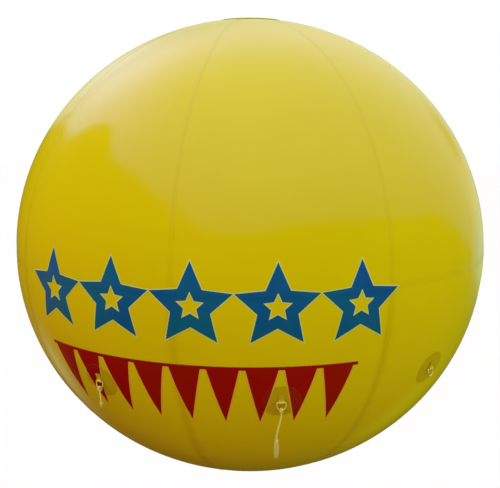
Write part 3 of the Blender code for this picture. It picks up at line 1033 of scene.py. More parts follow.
# %% Badges
def corner_reach(corners, per_side):
    """Directions and reaches round an outline with straight sides, with every corner kept."""
    turn = np.unwrap(np.arctan2(corners[:, 1], corners[:, 0]))
    turn = np.append(turn, turn[0] + 2 * np.pi)
    share = np.arange(per_side) / per_side
    facing = (turn[:-1, None] + np.diff(turn)[:, None] * share).ravel()
    side = np.roll(corners, -1, axis=0) - corners
    cross = corners[:, 0] * side[:, 1] - corners[:, 1] * side[:, 0]
    side, cross = np.repeat(side, per_side, axis=0), np.repeat(cross, per_side)
    return facing, cross / (np.cos(facing) * side[:, 1] - np.sin(facing) * side[:, 0])


def outward(corners):
    """For each side of an outline, the unit vector square to it that points out."""
    side = np.roll(corners, -1, axis=0) - corners
    square = np.stack([side[:, 1], -side[:, 0]], axis=-1)
    return square / np.linalg.norm(side, axis=1, keepdims=True)


def widen(corners, margin):
    """The same outline with every side moved out by a margin and its corners kept sharp."""
    out = outward(corners)
    before = np.roll(out, 1, axis=0)
    return corners + margin * (out + before) / (1.0 + (out * before).sum(-1, keepdims=True))


def lay_outline(azimuth, angle, facing, reach, height, over_upright=1.0, over_level=1.0):
    """Rows of points about a centre on the film: each at a reach, a direction and a height."""
    beside = step_beside(azimuth, angle, reach * np.cos(facing), reach * np.sin(facing))
    return film_points(*beside, lie_on(*beside, over_upright, over_level) + height)


def flat_section(low, high, top_rows, under_rows, edge_share):
    """Top from the centre to the rim, a small round edge, and the underside back to the centre."""
    top = np.linspace(0.0, 1.0 - edge_share, top_rows)
    middle = (low + high) / 2
    edge = np.array([[1.0 - 0.3 * edge_share, high - 0.25 * (high - low)], [1.0, middle],
                     [1.0 - 0.3 * edge_share, low + 0.25 * (high - low)]])
    under = np.linspace(1.0 - edge_share, 0.0, under_rows)
    return np.concatenate([np.stack([top, np.full_like(top, high)], -1), edge,
                           np.stack([under, np.full_like(under, low)], -1)])


unit_square = np.array([[1.0, 1.0], [-1.0, 1.0], [-1.0, -1.0], [1.0, -1.0]])
print("reach to a square's corner and side:", corner_reach(unit_square, 2)[1][:2].round(3))

# %% [markdown]
# Each ring's strap is held by a round patch of double film, heat-welded to the envelope. A flat
# cylinder would stand off the sphere at its rim, so the patch is a badge, which bends with it.
# Its weld shows as a shallow ring near the rim, where the electrode pressed it down. The top
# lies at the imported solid's height.

# %% Round patches
patch_radius = 0.085
patch_weld_share = 0.86
patch_weld_width = 0.055
patch_weld_depth = 0.0005
patch_underside = 0.0001
patch_sides = 88


def patch_section(low, high, rows=30):
    """A flat top with a pressed ring: its depth is a bell curve of the share of the radius."""
    share = np.linspace(0.0, 0.985, rows)
    pressed = patch_weld_depth * np.exp(-((share - patch_weld_share) / patch_weld_width) ** 4)
    top = np.stack([share, high - pressed], axis=-1)
    edge = np.array([[0.997, high - 0.0004], [1.0, (low + high) / 2], [0.998, low]])
    under = np.stack([np.linspace(0.97, 0.0, 6), np.full(6, low)], axis=-1)
    return np.concatenate([top, edge, under])


def add_patch(fitting):
    """A round badge: the section's shares of one radius, in directions all round."""
    number = fitting["number"]
    facing = 2 * np.pi * np.arange(patch_sides) / patch_sides
    top = fitting["lift"] + patch_thickness - gap
    section = patch_section(patch_underside, top)
    points = lay_outline(fitting["azimuth"], fitting["angle"], facing,
                         patch_radius * section[:, :1], section[:, 1:], 0.0, 0.0)
    patch = add_surface("patch_%d" % number, points, wrap_columns=True)
    return finish_piece(patch, patch_finish, "root", "patch_film", "tether_patch_%d" % number)


patches = [add_patch(fitting) for fitting in fittings]
print("patches made:", len(patches))

# %% [markdown]
# A 26 mm strap of coated webbing goes round the ring's bar, and both its ends are welded flat
# on the patch. A cloth simulation would settle it too, but its line is simple enough to draw:
# down the patch, round the bar, and back up over the first layer. A rounded section is carried
# along that line.

# %% Keeper straps
keeper_width = 0.026
keeper_tail = 0.036
keeper_points = 90
loop_start = 180.0
loop_end = 420.0
settled_height = 0.014
upper_layer = 1.5 * keeper_wall + 0.0002
scuff_reach = 0.0075


def keeper_line():
    """The strap's middle line as (out, up) pairs: lower layer, round the bar, upper layer."""
    middle = ring_wire_radius + keeper_play + keeper_wall
    bend = ring_wire_radius + keeper_play + keeper_wall / 2
    lower = np.stack([np.full(10, keeper_wall / 2), np.linspace(keeper_tail, 0.002, 10)], axis=-1)
    turn = np.radians(np.linspace(loop_start, loop_end, 34))
    loop = np.stack([middle + bend * np.cos(turn), bend * np.sin(turn)], axis=-1)
    share = np.linspace(0.0, 1.0, 10)[1:, None]
    leave = loop[-1]
    settle = np.concatenate([leave[0] + (upper_layer - leave[0]) * smooth_step(share),
                             leave[1] + (settled_height - leave[1]) * share], axis=-1)
    end = np.linspace(settled_height + 0.002, keeper_tail - 0.001, 8)
    upper = np.stack([np.full(8, upper_layer), end], axis=-1)
    return even_path(np.concatenate([lower, loop, settle, upper]), keeper_points)


def add_keeper(fitting):
    """The strap's section stands across its line: along the bar, and square to both."""
    number = fitting["number"]
    line = keeper_line()
    ahead = np.gradient(line, axis=0)
    ahead /= np.linalg.norm(ahead, axis=1, keepdims=True)
    side = np.stack([-ahead[:, 1], ahead[:, 0]], axis=-1)
    section = rounded_section(keeper_width, keeper_wall, edge_points=4, flat_points=9)
    flat = line[:, None, :] + side[:, None, :] * (section[:, 1] - keeper_wall / 2)[:, None]
    base = fitting["point"] + fitting["out"] * (fitting["lift"] + patch_thickness + gap)
    points = (base + fitting["out"] * flat[..., :1] + fitting["rise"] * flat[..., 1:]
              + fitting["along"] * section[:, 0][:, None])
    run = np.linspace(0.0, path_length(line), len(line))
    reach = np.append(path_run(section), 2 * keeper_width)
    uv = np.stack(np.broadcast_arrays(run[:, None], reach[None, :]), axis=-1)
    bar = np.array([ring_wire_radius + keeper_play + keeper_wall, 0.0])
    scuff = np.exp(-(np.linalg.norm(line - bar, axis=1) / scuff_reach) ** 4)
    scuff = np.concatenate([[0.0], scuff, [0.0]])[:, None]
    strap = add_surface("strap_%d" % number, close_ends(points), wrap_columns=True,
                        uv=repeat_ends(uv), traits={"scuff": scuff})
    finish_piece(strap, strap_finish, "root", "strap", "tether_keeper_%d" % number, sharp=50)


for fitting in fittings:
    add_keeper(fitting)
print("straps made:", len(fittings))

# %% [markdown]
# The rings are bent from 6 mm plated wire, straight where they turn in the strap. A bevelled
# curve would do, but the tube builder is at hand and closes its own seam. Nickel plating is
# nearly a mirror, dulled by fine scratches and by handling, so the finish is a metal with
# roughness that varies on stretched noise.

# %% D-rings
nickel_bright = (0.95, 0.88, 0.74)
nickel_dull = (0.74, 0.62, 0.44)
ring_sides = 18
ring_points = 121


def make_ring_finish():
    """Plated metal: duller in places, with a roughness and a bump of fine stretched scratches."""
    material, tree, shader = start_finish("plated_wire", Metallic=1.0)
    coordinates = object_coordinates(tree)
    tarnish = spread(tree, noise(tree, coordinates, 55.0, detail=4.0), 0.0, 1.0, 0.4, 0.72)
    tree.links.new(blend_colours(tree, tarnish, nickel_bright, nickel_dull),
                   shader.inputs["Base Color"])
    scratches = noise(tree, coordinates, 420.0, detail=3.0, distortion=1.5)
    tree.links.new(spread(tree, scratches, 0.22, 0.42, 0.3, 0.7), shader.inputs["Roughness"])
    tree.links.new(bump(tree, scratches, 0.15, 0.0002), shader.inputs["Normal"])
    return material


ring_finish = make_ring_finish()


def ring_line():
    """The D: a straight bar, two small corners and a half circle, evenly spaced."""
    half = ring_width / 2
    corner = np.linspace(np.pi / 2, 0.0, 9)[:, None]
    right = np.concatenate([half - ring_corner + ring_corner * np.cos(corner),
                            ring_corner * (np.sin(corner) - 1)], 1)
    bow = np.linspace(0.0, -np.pi, 60)[:, None]
    round_part = np.concatenate([half * np.cos(bow), half - ring_drop + half * np.sin(bow)], 1)
    left = right[::-1] * [-1, 1]
    return even_path(np.concatenate([right, round_part, left, right[:1]]), ring_points)[:-1]


def add_ring(fitting):
    """A closed round tube along the D, which hangs from the bar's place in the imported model."""
    number = fitting["number"]
    line = ring_line()
    path = fitting["bar"] + fitting["along"] * line[:, :1] + up * line[:, 1:]
    normal = np.cross(fitting["along"], up)
    points = tube_points(path, ring_wire_radius, ring_sides, normal, closed=True)
    ring = add_surface("ring_wire_%d" % number, points, wrap_rows=True, wrap_columns=True)
    finish_piece(ring, ring_finish, "ring_%d" % number, "ring_steel", "tether_ring_%d" % number)


for fitting in fittings:
    add_ring(fitting)
print("rings made:", len(fittings))

# %% [markdown]
# A disc of film closes the sphere over the ends of the gores, at the top and at the foot. It
# carries two pressed weld rings, and the lower one has a hole for the valve. Near a pole the
# azimuth carries no distance, so a badge would be torn there. A disc is built straight from the
# film's two parameters instead.

# %% Polar discs
cap_radius = 0.150
cap_lift = 0.0019
cap_thickness = 0.0015
valve_bore_radius = 0.0135
disc_rows = 44
disc_sides = 96
disc_weld_depth = 0.0005
# The radius and the half width of each pressed ring.
disc_welds = ((0.138, 0.006), (0.085, 0.005))


def add_disc(name, side, hole, node):
    """Radius from the hole to the rim and back, with the heights of a disc with pressed rings."""
    share = np.linspace(0.0, 1.0, disc_rows)
    radius = hole + (cap_radius - 0.0006 - hole) * share
    pressed = disc_weld_depth * sum(np.exp(-((radius - weld) / half) ** 4)
                                    for weld, half in disc_welds)
    top = np.stack([radius, cap_lift + cap_thickness - pressed], axis=-1)
    edge = np.array([[cap_radius, cap_lift + 0.6 * cap_thickness], [cap_radius, 0.0006]])
    inward = np.linspace(cap_radius - 0.002, hole, 10)
    under = np.stack([inward, np.full_like(inward, cap_lift - 0.0003)], axis=-1)
    section = np.concatenate([top, edge, under])
    angle = side * angle_at_radius(np.clip(section[:, :1], 1e-9, None))
    azimuth = 2 * np.pi * np.arange(disc_sides)[None, :] / disc_sides
    height = np.broadcast_to(section[:, 1:], (len(section), disc_sides))
    disc = add_surface(name, film_points(azimuth, angle, height), wrap_columns=True,
                       wrap_rows=hole > 0)
    finish_piece(disc, patch_finish, "root", "cap_film", node, sharp=60)


add_disc("top_disc", 1, 0.0, "top_cap")
add_disc("foot_disc", -1, valve_bore_radius, "bottom_cap")
print("polar discs made: 2")

# %% [markdown]
# The sphere carries a plain fairground pattern: open blue stars along the equator and a line of
# red bunting below, on the front and again on the back. It could be a mask in the film's own
# finish, but cut film has a real edge. So each shape is a thin piece of coloured film on a
# slightly larger piece of pale film, a badge on a badge.

# %% Print finishes
print_roughness_range = 0.10


def make_print(name, colour, deep, roughness):
    """Coloured film: colour on slow noise, a gloss that varies faster, and fine waves."""
    material, tree, shader = start_finish(name, IOR=film_index, Specular_IOR_Level=0.12)
    coordinates = object_coordinates(tree)
    drift = noise(tree, coordinates, 3.2, detail=4.0)
    tree.links.new(blend_colours(tree, spread(tree, drift, 0.0, 1.0, 0.35, 0.65), colour, deep),
                   shader.inputs["Base Color"])
    fine = noise(tree, coordinates, 24.0, detail=3.0)
    gloss = (roughness, roughness + print_roughness_range)
    tree.links.new(spread(tree, fine, *gloss, 0.3, 0.7), shader.inputs["Roughness"])
    tree.links.new(bump(tree, noise(tree, coordinates, 60.0), 0.05, 0.0008),
                   shader.inputs["Normal"])
    return material


blue_print = make_print("blue_print", (0.0005, 0.088, 0.700), (0.0005, 0.125, 0.600), 0.16)
red_print = make_print("red_print", (0.360, 0.001, 0.010), (0.320, 0.006, 0.003), 0.18)
pale_print = make_print("pale_print", (0.720, 0.780, 0.380), (0.660, 0.740, 0.300), 0.22)
warm_print = make_print("warm_print", (0.860, 0.500, 0.200), (0.800, 0.440, 0.150), 0.22)
print("print finishes made")

# %% [markdown]
# The print has only two outlines: a star of ten corners, and a pennant of three. Each could be
# drawn flat and wrapped on afterwards, but a wrapped shape stretches towards its rim. Here each
# outline is a short list of corners about a centre, in metres, and the badge lays it on the
# film in true size. Two layers lie on each other: the pale edge below, the colour above.

# %% Outlines of the print
print_gap = 0.0001
print_film = 0.0003
edge_margin = 0.005
star_radius = 0.185
star_inner = 0.47
pennant_width = 0.136
pennant_height = 0.290


def star_corners():
    """Ten corners at two radii in turn, with one point up."""
    turn = np.pi / 2 + np.pi * np.arange(10) / 5
    reach = star_radius * np.where(np.arange(10) % 2 == 0, 1.0, star_inner)
    return np.stack([reach * np.cos(turn), reach * np.sin(turn)], axis=-1)


def pennant_corners():
    """A triangle that hangs point down, about its centroid."""
    top = pennant_height / 3
    half = pennant_width / 2
    return np.array([[half, top], [-half, top], [0.0, top - pennant_height]])


def print_height(layer):
    """Lower and upper height of a layer of print over the film."""
    low = print_gap + layer * (print_film + print_gap)
    return low, low + print_film


print("corners:", len(star_corners()), "and", len(pennant_corners()))

# %% [markdown]
# A star is open: its middle is cut out, so its section runs from an inner outline to an outer
# one. A pennant is a filled triangle. A Boolean could cut the stars open, but it leaves long
# faces that wouldn't bend with the film. Both outlines widened by one margin give the edge
# piece below, and by none the colour. The star's arms get their sharp tips because every corner
# of the outline is kept.

# %% Stars and pennants
star_stroke = 0.050


def add_print(name, grids, finish, slot, wrap_rows=False):
    """Equal grids at several places on the film, as one piece of separate closed bodies."""
    obj = add_surface(name, np.stack(grids), wrap_rows=wrap_rows, wrap_columns=True)
    return finish_piece(obj, finish, "root", slot, sharp=50)


def add_stars(label, places, margin, layer, finish, slot, per_side=9):
    """Open stars: the section runs from the inner outline to the outer, over its edge and back."""
    low, high = print_height(layer)
    facing, outer = corner_reach(widen(star_corners(), margin), per_side)
    inner = corner_reach(widen(star_corners(), -star_stroke - margin), per_side)[1]
    across = np.linspace(0.02, 0.98, 10)
    share = np.concatenate([[0.0], across, [1.0], across[::-3]])[:, None]
    middle = (low + high) / 2
    height = np.concatenate([[middle], np.full(10, high), [middle], np.full(4, low)])[:, None]
    reach = inner + (outer - inner) * share
    grids = [lay_outline(*place, facing, reach, height) for place in places]
    return add_print("stars_" + label, grids, finish, slot, wrap_rows=True)


def add_pennants(label, places, margin, layer, finish, slot, per_side=16):
    """Filled triangles: the section runs from the middle to the outline and back underneath."""
    low, high = print_height(layer)
    facing, reach = corner_reach(widen(pennant_corners(), margin), per_side)
    section = flat_section(low, high, 22, 8, 0.01)
    reach = section[:, :1] * reach
    grids = [lay_outline(*place, facing, reach, section[:, 1:]) for place in places]
    return add_print("pennants_" + label, grids, finish, slot)


print("a star is", 2 * star_radius, "m across and a pennant", pennant_height, "m high")

# %% [markdown]
# The places follow one rule each: stars and pennants stand at even steps of azimuth on one
# latitude. They could be put down one by one, but a step and a first place are all there is to
# say. The pennants hang from a thin line, a strip with a rounded section. The whole print is
# laid twice, half a turn apart.

# %% Placing the print
star_count = 5
star_pitch = 17.0
star_latitude = -3.0
print_middle = -18.6
pennant_pitch = 8.1
pennant_first = -6.55
pennant_count = 9
pennant_latitude = -16.4
line_width = 0.016
line_latitude = -15.9
line_rows = 500


def latitude_angle(latitude):
    """The ellipse's angle at a latitude in degrees, which is counted from the centre."""
    return np.arctan(np.tan(np.radians(latitude)) * film_radius / film_half_height)


def add_bunting_line(label, turn):
    """The line that the pennants hang from: a strip from just before the first to past the last."""
    first = np.radians(turn + (pennant_first - 0.55) * pennant_pitch)
    last = np.radians(turn + (pennant_first + pennant_count - 0.45) * pennant_pitch)
    azimuth = np.linspace(first, last, line_rows)
    angle = np.full_like(azimuth, latitude_angle(line_latitude))
    section = rounded_section(line_width, 2 * print_film + 3 * print_gap)
    line = add_strip("bunting_line_" + label, azimuth, angle, 0.0, 1.0, line_width, section,
                     1.0, 1.0)
    finish_piece(line, red_print, "root", "print_red", sharp=50)


def pennant_places(turn):
    """Azimuths and angles of the pennants' centroids."""
    middle = latitude_angle(pennant_latitude) - pennant_height / 3 / film_radius
    return [(np.radians(turn + (pennant_first + k) * pennant_pitch), middle)
            for k in range(pennant_count)]


def add_prints(label, turn):
    """A row of stars and one of pennants, each on its edge piece, turned about Z by degrees."""
    star_places = [(np.radians(print_middle + turn + (k - (star_count - 1) / 2) * star_pitch),
                    latitude_angle(star_latitude)) for k in range(star_count)]
    add_stars("edge_" + label, star_places, edge_margin, 0, pale_print, "print_edge")
    add_stars(label, star_places, 0.0, 1, blue_print, "print_blue")
    add_pennants("edge_" + label, pennant_places(turn), edge_margin, 0, warm_print, "print_edge")
    add_pennants(label, pennant_places(turn), 0.0, 1, red_print, "print_red")
    add_bunting_line(label, turn)


add_prints("front", 0.0)
add_prints("back", 180.0)
print("print made")

# %% [markdown]
# The bunting runs on over the patches, where the colour was painted across them. A copy of each
# pennant, cut by the patch's outline, would be one way. Here the patch's points carry the depth
# inside the nearest pennant instead. A depth changes evenly across a face, so the finish can
# draw a crisp edge where it passes a value, even on a coarse mesh.

# %% Print over the patches
depth_range = 0.040
paint_blur = 0.015
paint_red = (0.330, 0.001, 0.009)
paint_warm = (0.800, 0.450, 0.160)


def pennant_depth(azimuth, angle):
    """0.5 on a pennant's outline, and 1 more for each depth_range that a point lies inside it."""
    corners = pennant_corners()
    centres = np.array(pennant_places(0.0) + pennant_places(180.0))
    turn = (azimuth[:, None] - centres[:, 0] + np.pi) % (2 * np.pi) - np.pi
    east = turn * film_radius * np.cos(angle)[:, None]
    north = (angle[:, None] - centres[:, 1]) * film_slope(centres[:, 1])
    place = np.stack([east, north], axis=-1)[:, :, None, :]
    inside = ((corners - place) * outward(corners)).sum(-1).min(-1).max(-1)
    return np.clip(0.5 + inside / depth_range, 0.0, 1.0)


def make_painted_patch():
    """The patch's film, turned warm near a pennant's outline and red inside it."""
    material = make_film("painted_patch_film", patch_yellow, patch_deep, patch_gloss)
    tree = material.node_tree
    shader = tree.nodes["Principled BSDF"]
    film = shader.inputs["Base Color"].links[0].from_socket
    depth = add_node(tree, "ShaderNodeAttribute", attribute_name="depth").outputs["Fac"]
    edge = 0.5 - edge_margin / depth_range
    warm = spread(tree, depth, 0.0, 1.0, edge - paint_blur, edge + paint_blur)
    red = spread(tree, depth, 0.0, 1.0, 0.5 - paint_blur, 0.5 + paint_blur)
    edged = blend_colours(tree, warm, film, paint_warm)
    tree.links.new(blend_colours(tree, red, edged, paint_red), shader.inputs["Base Color"])
    return material


def paint_patch(patch, finish):
    """Gives a patch the depth of each of its points, and the finish if a pennant reaches it."""
    place = np.empty(3 * len(patch.data.vertices))
    patch.data.vertices.foreach_get("co", place)
    x, y, z = place.reshape(-1, 3).T
    angle = np.arctan2(z / film_half_height, np.hypot(x, y) / film_radius)
    depth = pennant_depth(np.arctan2(x, -y), angle)
    if depth.max() <= 0.5:
        return False
    add_trait(patch.data, "depth", depth)
    patch.data.materials[0] = finish
    return True


painted_patch = make_painted_patch()
painted = [paint_patch(patch, painted_patch) for patch in patches]
print("patches painted:", sum(painted))

# %% [markdown]
# The valve is moulded from pale semi-rigid vinyl, and its flap is black rubber. Vinyl yellows
# and picks up dirt from hands, so slow noise with a hard threshold darkens it in places and
# takes its gloss there. Rubber blooms: a grey film comes out of it. A painted mask could show
# both, but noise in the piece's own coordinates needs no unwrapping.

# %% Valve finishes
vinyl_clean = (0.70, 0.67, 0.56)
vinyl_dirty = (0.42, 0.36, 0.22)
rubber_black = (0.030, 0.030, 0.032)
rubber_bloomed = (0.090, 0.085, 0.075)


def make_moulding():
    """Moulded vinyl: dirt by a threshold on noise, which also roughens it, and a fine grain."""
    material, tree, shader = start_finish("valve_moulding", IOR=1.46)
    coordinates = object_coordinates(tree)
    dirt = spread(tree, noise(tree, coordinates, 45.0, detail=5.0), 0.0, 0.6, 0.45, 0.75)
    tree.links.new(blend_colours(tree, dirt, vinyl_clean, vinyl_dirty), shader.inputs["Base Color"])
    tree.links.new(spread(tree, dirt, 0.34, 0.55), shader.inputs["Roughness"])
    tree.links.new(bump(tree, noise(tree, coordinates, 900.0), 0.15, 0.0002),
                   shader.inputs["Normal"])
    return material


def make_rubber():
    """Black rubber: bloom by a threshold on noise, which also roughens it, and a fine grain."""
    material, tree, shader = start_finish("valve_rubber", Specular_IOR_Level=0.35)
    coordinates = object_coordinates(tree)
    bloom = spread(tree, noise(tree, coordinates, 120.0, detail=4.0), 0.0, 0.5, 0.4, 0.7)
    tree.links.new(blend_colours(tree, bloom, rubber_black, rubber_bloomed),
                   shader.inputs["Base Color"])
    tree.links.new(spread(tree, bloom, 0.50, 0.75), shader.inputs["Roughness"])
    tree.links.new(bump(tree, noise(tree, coordinates, 1500.0), 0.2, 0.0001),
                   shader.inputs["Normal"])
    return material


moulding_finish = make_moulding()
rubber_finish = make_rubber()
print("valve finishes made")

# %% [markdown]
# The valve's round parts are profiles turned about Z. A Screw modifier turns a profile too, but
# turned here it can have small waves added to its radius, where the mould has ribs. Its corners
# are eased as a mould leaves them: each one is replaced by a short curve between a point before
# it and a point after it. A flat part, such as a lug of the hinge, is an outline with such
# corners and a small bevel on both faces.

# %% Turned and flat parts
turned_sides = 96


def ease(corners, radius, steps=4):
    """Each corner of a closed outline as a curve that leaves and meets its sides by a radius."""
    corners = np.asarray(corners, float)
    radius = np.broadcast_to(radius, len(corners))[:, None, None]
    ahead = np.roll(corners, -1, axis=0) - corners
    ahead = ahead / np.linalg.norm(ahead, axis=1, keepdims=True)
    t = np.linspace(0.0, 1.0, steps)[None, :, None]
    here = corners[:, None, :]
    before = here - radius * np.roll(ahead, 1, axis=0)[:, None, :]
    after = here + radius * ahead[:, None, :]
    return ((1 - t) ** 2 * before + 2 * t * (1 - t) * here + t ** 2 * after).reshape(-1, 2)


def turn_profile(profile, wave=0.0):
    """A profile of (radius, height) turned about Z, with a wave added to each radius."""
    turn = 2 * np.pi * np.arange(turned_sides) / turned_sides
    radius = profile[:, :1] + wave
    return np.stack([radius * np.cos(turn), radius * np.sin(turn),
                     np.broadcast_to(profile[:, 1:], radius.shape) + 0.0 * turn], axis=-1)


def plate(outline, half_width, middle=0.0, bevel=0.0004):
    """An outline in the hinge's plane, given a width across it and a bevel round both faces."""
    centre = outline.mean(axis=0)
    size = np.linalg.norm(outline - centre, axis=1).mean()
    near = 1.0 - bevel / size
    share = np.array([0.0, near, 1.0, 1.0, near, 0.0])[:, None, None]
    across = np.array([-half_width, -half_width, bevel - half_width])
    across = np.concatenate([across, -across[::-1]])
    flat = centre + (outline - centre) * share
    width = np.broadcast_to(across[:, None] + middle, flat.shape[:2])
    return np.stack([flat[..., 0], width, flat[..., 1]], axis=-1)


def arc_points(centre, radius, start, end, count=12):
    """Points of a circle from one angle in degrees to another."""
    turn = np.radians(np.linspace(start, end, count))
    return np.stack([centre[0] + radius * np.cos(turn), centre[1] + radius * np.sin(turn)], axis=-1)


print("points round an eased square:", len(ease(unit_square, 0.2)))

# %% [markdown]
# The valve's body is welded under the lower disc by its flange. Its neck has three rings for
# the fingers to grip, and two lugs behind it hold the lid's pin. A bevelled cylinder would miss
# all of them. The profile runs along the flange's outside, down the neck and up the bore, so
# that it closes on itself, and the lugs are two flat parts.

# %% Valve body
valve_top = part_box("valve_base")[1].z
valve_foot = valve_top - 0.022
flange_radius = 0.045
flange_thickness = 0.003
flange_weld_radius = 0.037
flange_weld_half = 0.0028
flange_weld_depth = 0.0005
neck_radius = 0.020
neck_fillet = 0.0015
grip_pitch = 0.0055
grip_offset = 0.0027
grip_half = 0.0009
grip_height = 0.0008
membrane_radius = 0.016
membrane_thickness = 0.001
hinge = np.array(joints["lid_hinge"]["pos_m"], float)
knuckle_half = 0.005
lug_width = 0.004
lug_radius = 0.0045


def add_valve_base():
    """Flange with a pressed weld ring, neck with three grip rings, and the seat inside the bore."""
    under = valve_top - flange_thickness
    rings = np.linspace(under - neck_fillet, valve_foot + 0.0015, 60)
    from_grip = np.mod(rings - valve_foot, grip_pitch) - grip_offset
    grip = neck_radius - 0.0004 + grip_height * np.exp(-(from_grip / grip_half) ** 4)
    face = np.linspace(flange_radius - 0.0012, neck_radius + 0.0020, 40)
    from_weld = (face - flange_weld_radius) / flange_weld_half
    pressed = under + flange_weld_depth * np.exp(-from_weld ** 4)
    fillet = arc_points((neck_radius + 0.0020 - 0.0004, under - neck_fillet), neck_fillet,
                        90.0, 180.0, 6)
    seat = valve_top - membrane_thickness - gap
    profile = np.concatenate([
        [[membrane_radius + gap, valve_top], [flange_radius - 0.0006, valve_top]],
        arc_points((flange_radius - 0.0012, valve_top - 0.0013), 0.0012, 60.0, -60.0, 8),
        np.stack([face, pressed], axis=-1), fillet, np.stack([grip, rings], axis=-1),
        [[neck_radius - 0.0006, valve_foot], [valve_bore_radius + 0.0004, valve_foot],
         [valve_bore_radius, valve_foot + 0.0004], [valve_bore_radius, seat],
         [membrane_radius + gap, seat]]])
    base = add_surface("valve_body", turn_profile(profile), wrap_rows=True, wrap_columns=True)
    finish_piece(base, moulding_finish, "root", "valve_moulding", "valve_base", sharp=45)


def add_lugs():
    """Two equal plates on each side of the lid's arm: round the pin, and up along the neck."""
    lug = np.concatenate([[[0.0188, valve_foot + 0.012], [0.0222, valve_foot + 0.012]],
                          arc_points((hinge[0], hinge[2]), lug_radius, 25.0, -180.0, 26),
                          [[0.0188, valve_foot + 0.0012]]])
    side = knuckle_half + gap + lug_width / 2
    pair = np.stack([plate(lug, lug_width / 2, -side), plate(lug, lug_width / 2, side)])
    lugs = add_surface("hinge_lugs", pair, wrap_columns=True)
    finish_piece(lugs, moulding_finish, "root", "valve_moulding", sharp=40)


add_valve_base()
add_lugs()
print("valve body made, foot at", round(valve_foot, 4))

# %% [markdown]
# Inside the valve a thin rubber disc lets gas in and closes behind it. It is small and hardly
# seen, so a flat disc would do, but the finish needs a slight dome to catch a highlight. It is
# turned like the body, and both its faces close on the axis.

# %% Rubber flap
def add_membrane():
    """A rubber disc whose middle domes a little, closed on the axis above and below."""
    radius = np.linspace(0.0, membrane_radius - 0.0003, 18)
    dome = 0.0002 * np.cos(np.pi * radius / membrane_radius)
    top = valve_top - 0.0005
    over = np.stack([radius, top + dome - 0.0001], axis=-1)
    under = np.stack([radius[::-1], top - 0.0005 + dome[::-1]], axis=-1)
    profile = np.concatenate([over, [[membrane_radius, top - 0.0003]], under])
    disc = add_surface("flap", turn_profile(profile), wrap_columns=True)
    finish_piece(disc, rubber_finish, "root", "valve_membrane", "valve_membrane", sharp=50)


add_membrane()
print("flap made")

# %% [markdown]
# The lid presses its plug into the bore and swings down on a pin behind it. Its rim is milled
# for grip, and a tab stands opposite the hinge. A Boolean could cut the milling, but it leaves
# long thin faces. A wave added to the rim's radius gives the same ridges on an even grid. The
# arm, the tab and the pin are flat parts that ride with the lid.

# %% Lid
lid_thickness = 0.004
lid_top = valve_foot - gap
lid_foot = lid_top - lid_thickness
plug_height = 0.006
plug_radius = 0.0125
plug_tip_radius = 0.0112
milled_ridges = 32
milled_height = 0.00025
pin_radius = 0.0018
pin_stand = 0.0005
arm_radius = 0.0034


def add_lid_disc():
    """Plug, lid with a milled rim, and two sunk rings underneath, closed on the axis."""
    turn = 2 * np.pi * np.arange(turned_sides) / turned_sides
    plug = ease([[plug_tip_radius, lid_top + plug_height], [plug_radius, lid_top + 0.0004],
                 [neck_radius, lid_top]], [0.0008, 0.0004, 0.0006])
    rim = ease([[neck_radius, lid_top], [neck_radius, lid_foot], [0.0, lid_foot]],
               [0.0006, 0.0010, 0.0])[4:8]
    face = np.linspace(neck_radius - 0.0014, 0.0, 40)
    sunk = lid_foot + 0.0006 * np.exp(-((face - 0.013) / 0.0025) ** 4)
    sunk = sunk + 0.0004 * np.exp(-(face / 0.004) ** 4)
    profile = np.concatenate([[[0.0, lid_top + plug_height]], plug, rim,
                              np.stack([face, sunk], axis=-1)])
    near_rim = np.clip((profile[:, :1] - neck_radius + 0.0008) / 0.0004, 0.0, 1.0)
    between = np.clip(1.0 - np.abs(profile[:, 1:] - (lid_top + lid_foot) / 2) / 0.0022, 0.0, 1.0)
    milled = milled_height * near_rim * between * np.cos(milled_ridges * turn)
    lid = add_surface("lid_disc", turn_profile(profile, milled), wrap_columns=True)
    finish_piece(lid, moulding_finish, "lid", "valve_moulding", "valve_lid", sharp=45)


def add_lid_parts():
    """Three flat parts across the hinge's plane: the arm, the tab to lift it by, and the pin."""
    centre = (hinge[0], hinge[2])
    arm = np.concatenate([[[0.0175, lid_top - 0.0004]],
                          arc_points(centre, arm_radius, 80.0, -90.0, 20),
                          [[0.0175, lid_foot + 0.0004]]])
    grip = ease([[-0.0290, lid_top - 0.0010], [-0.0175, lid_top - 0.0010],
                 [-0.0175, lid_foot + 0.0005], [-0.0290, lid_foot + 0.0005]],
                [0.0009, 0.0003, 0.0003, 0.0009])
    pin = arc_points(centre, pin_radius, 0.0, 360.0, 29)[:-1]
    # Name, outline, half width and bevel.
    pieces = (("lid_arm", arm, knuckle_half, 0.0004), ("lid_grip", grip, 0.007, 0.0012),
              ("hinge_pin", pin, knuckle_half + gap + lug_width + pin_stand, 0.0003))
    for name, outline, half_width, bevel in pieces:
        piece = add_surface(name, plate(outline, half_width, bevel=bevel), wrap_columns=True)
        finish_piece(piece, moulding_finish, "lid", "valve_moulding", sharp=40)


add_lid_disc()
add_lid_parts()
print("lid made, top at", round(lid_top, 4))

# %% [markdown]
# A glossy film shows what it mirrors: here a pale light above and a warmer, darker one below,
# with an uneven line between them. Lamps would show on the sphere as hard shapes, so a plain
# dome gives the light. The line is a curve of elevation against azimuth. The upper light grows
# overhead and has three broad lobes behind and beside the balloon, and the lower one falls off
# towards straight down. Near its outline the film mirrors what lies behind it, so a few small
# gleams there, lighter or darker than the rest, give the outline its uneven rim. The camera
# itself sees a plain near-white backdrop.

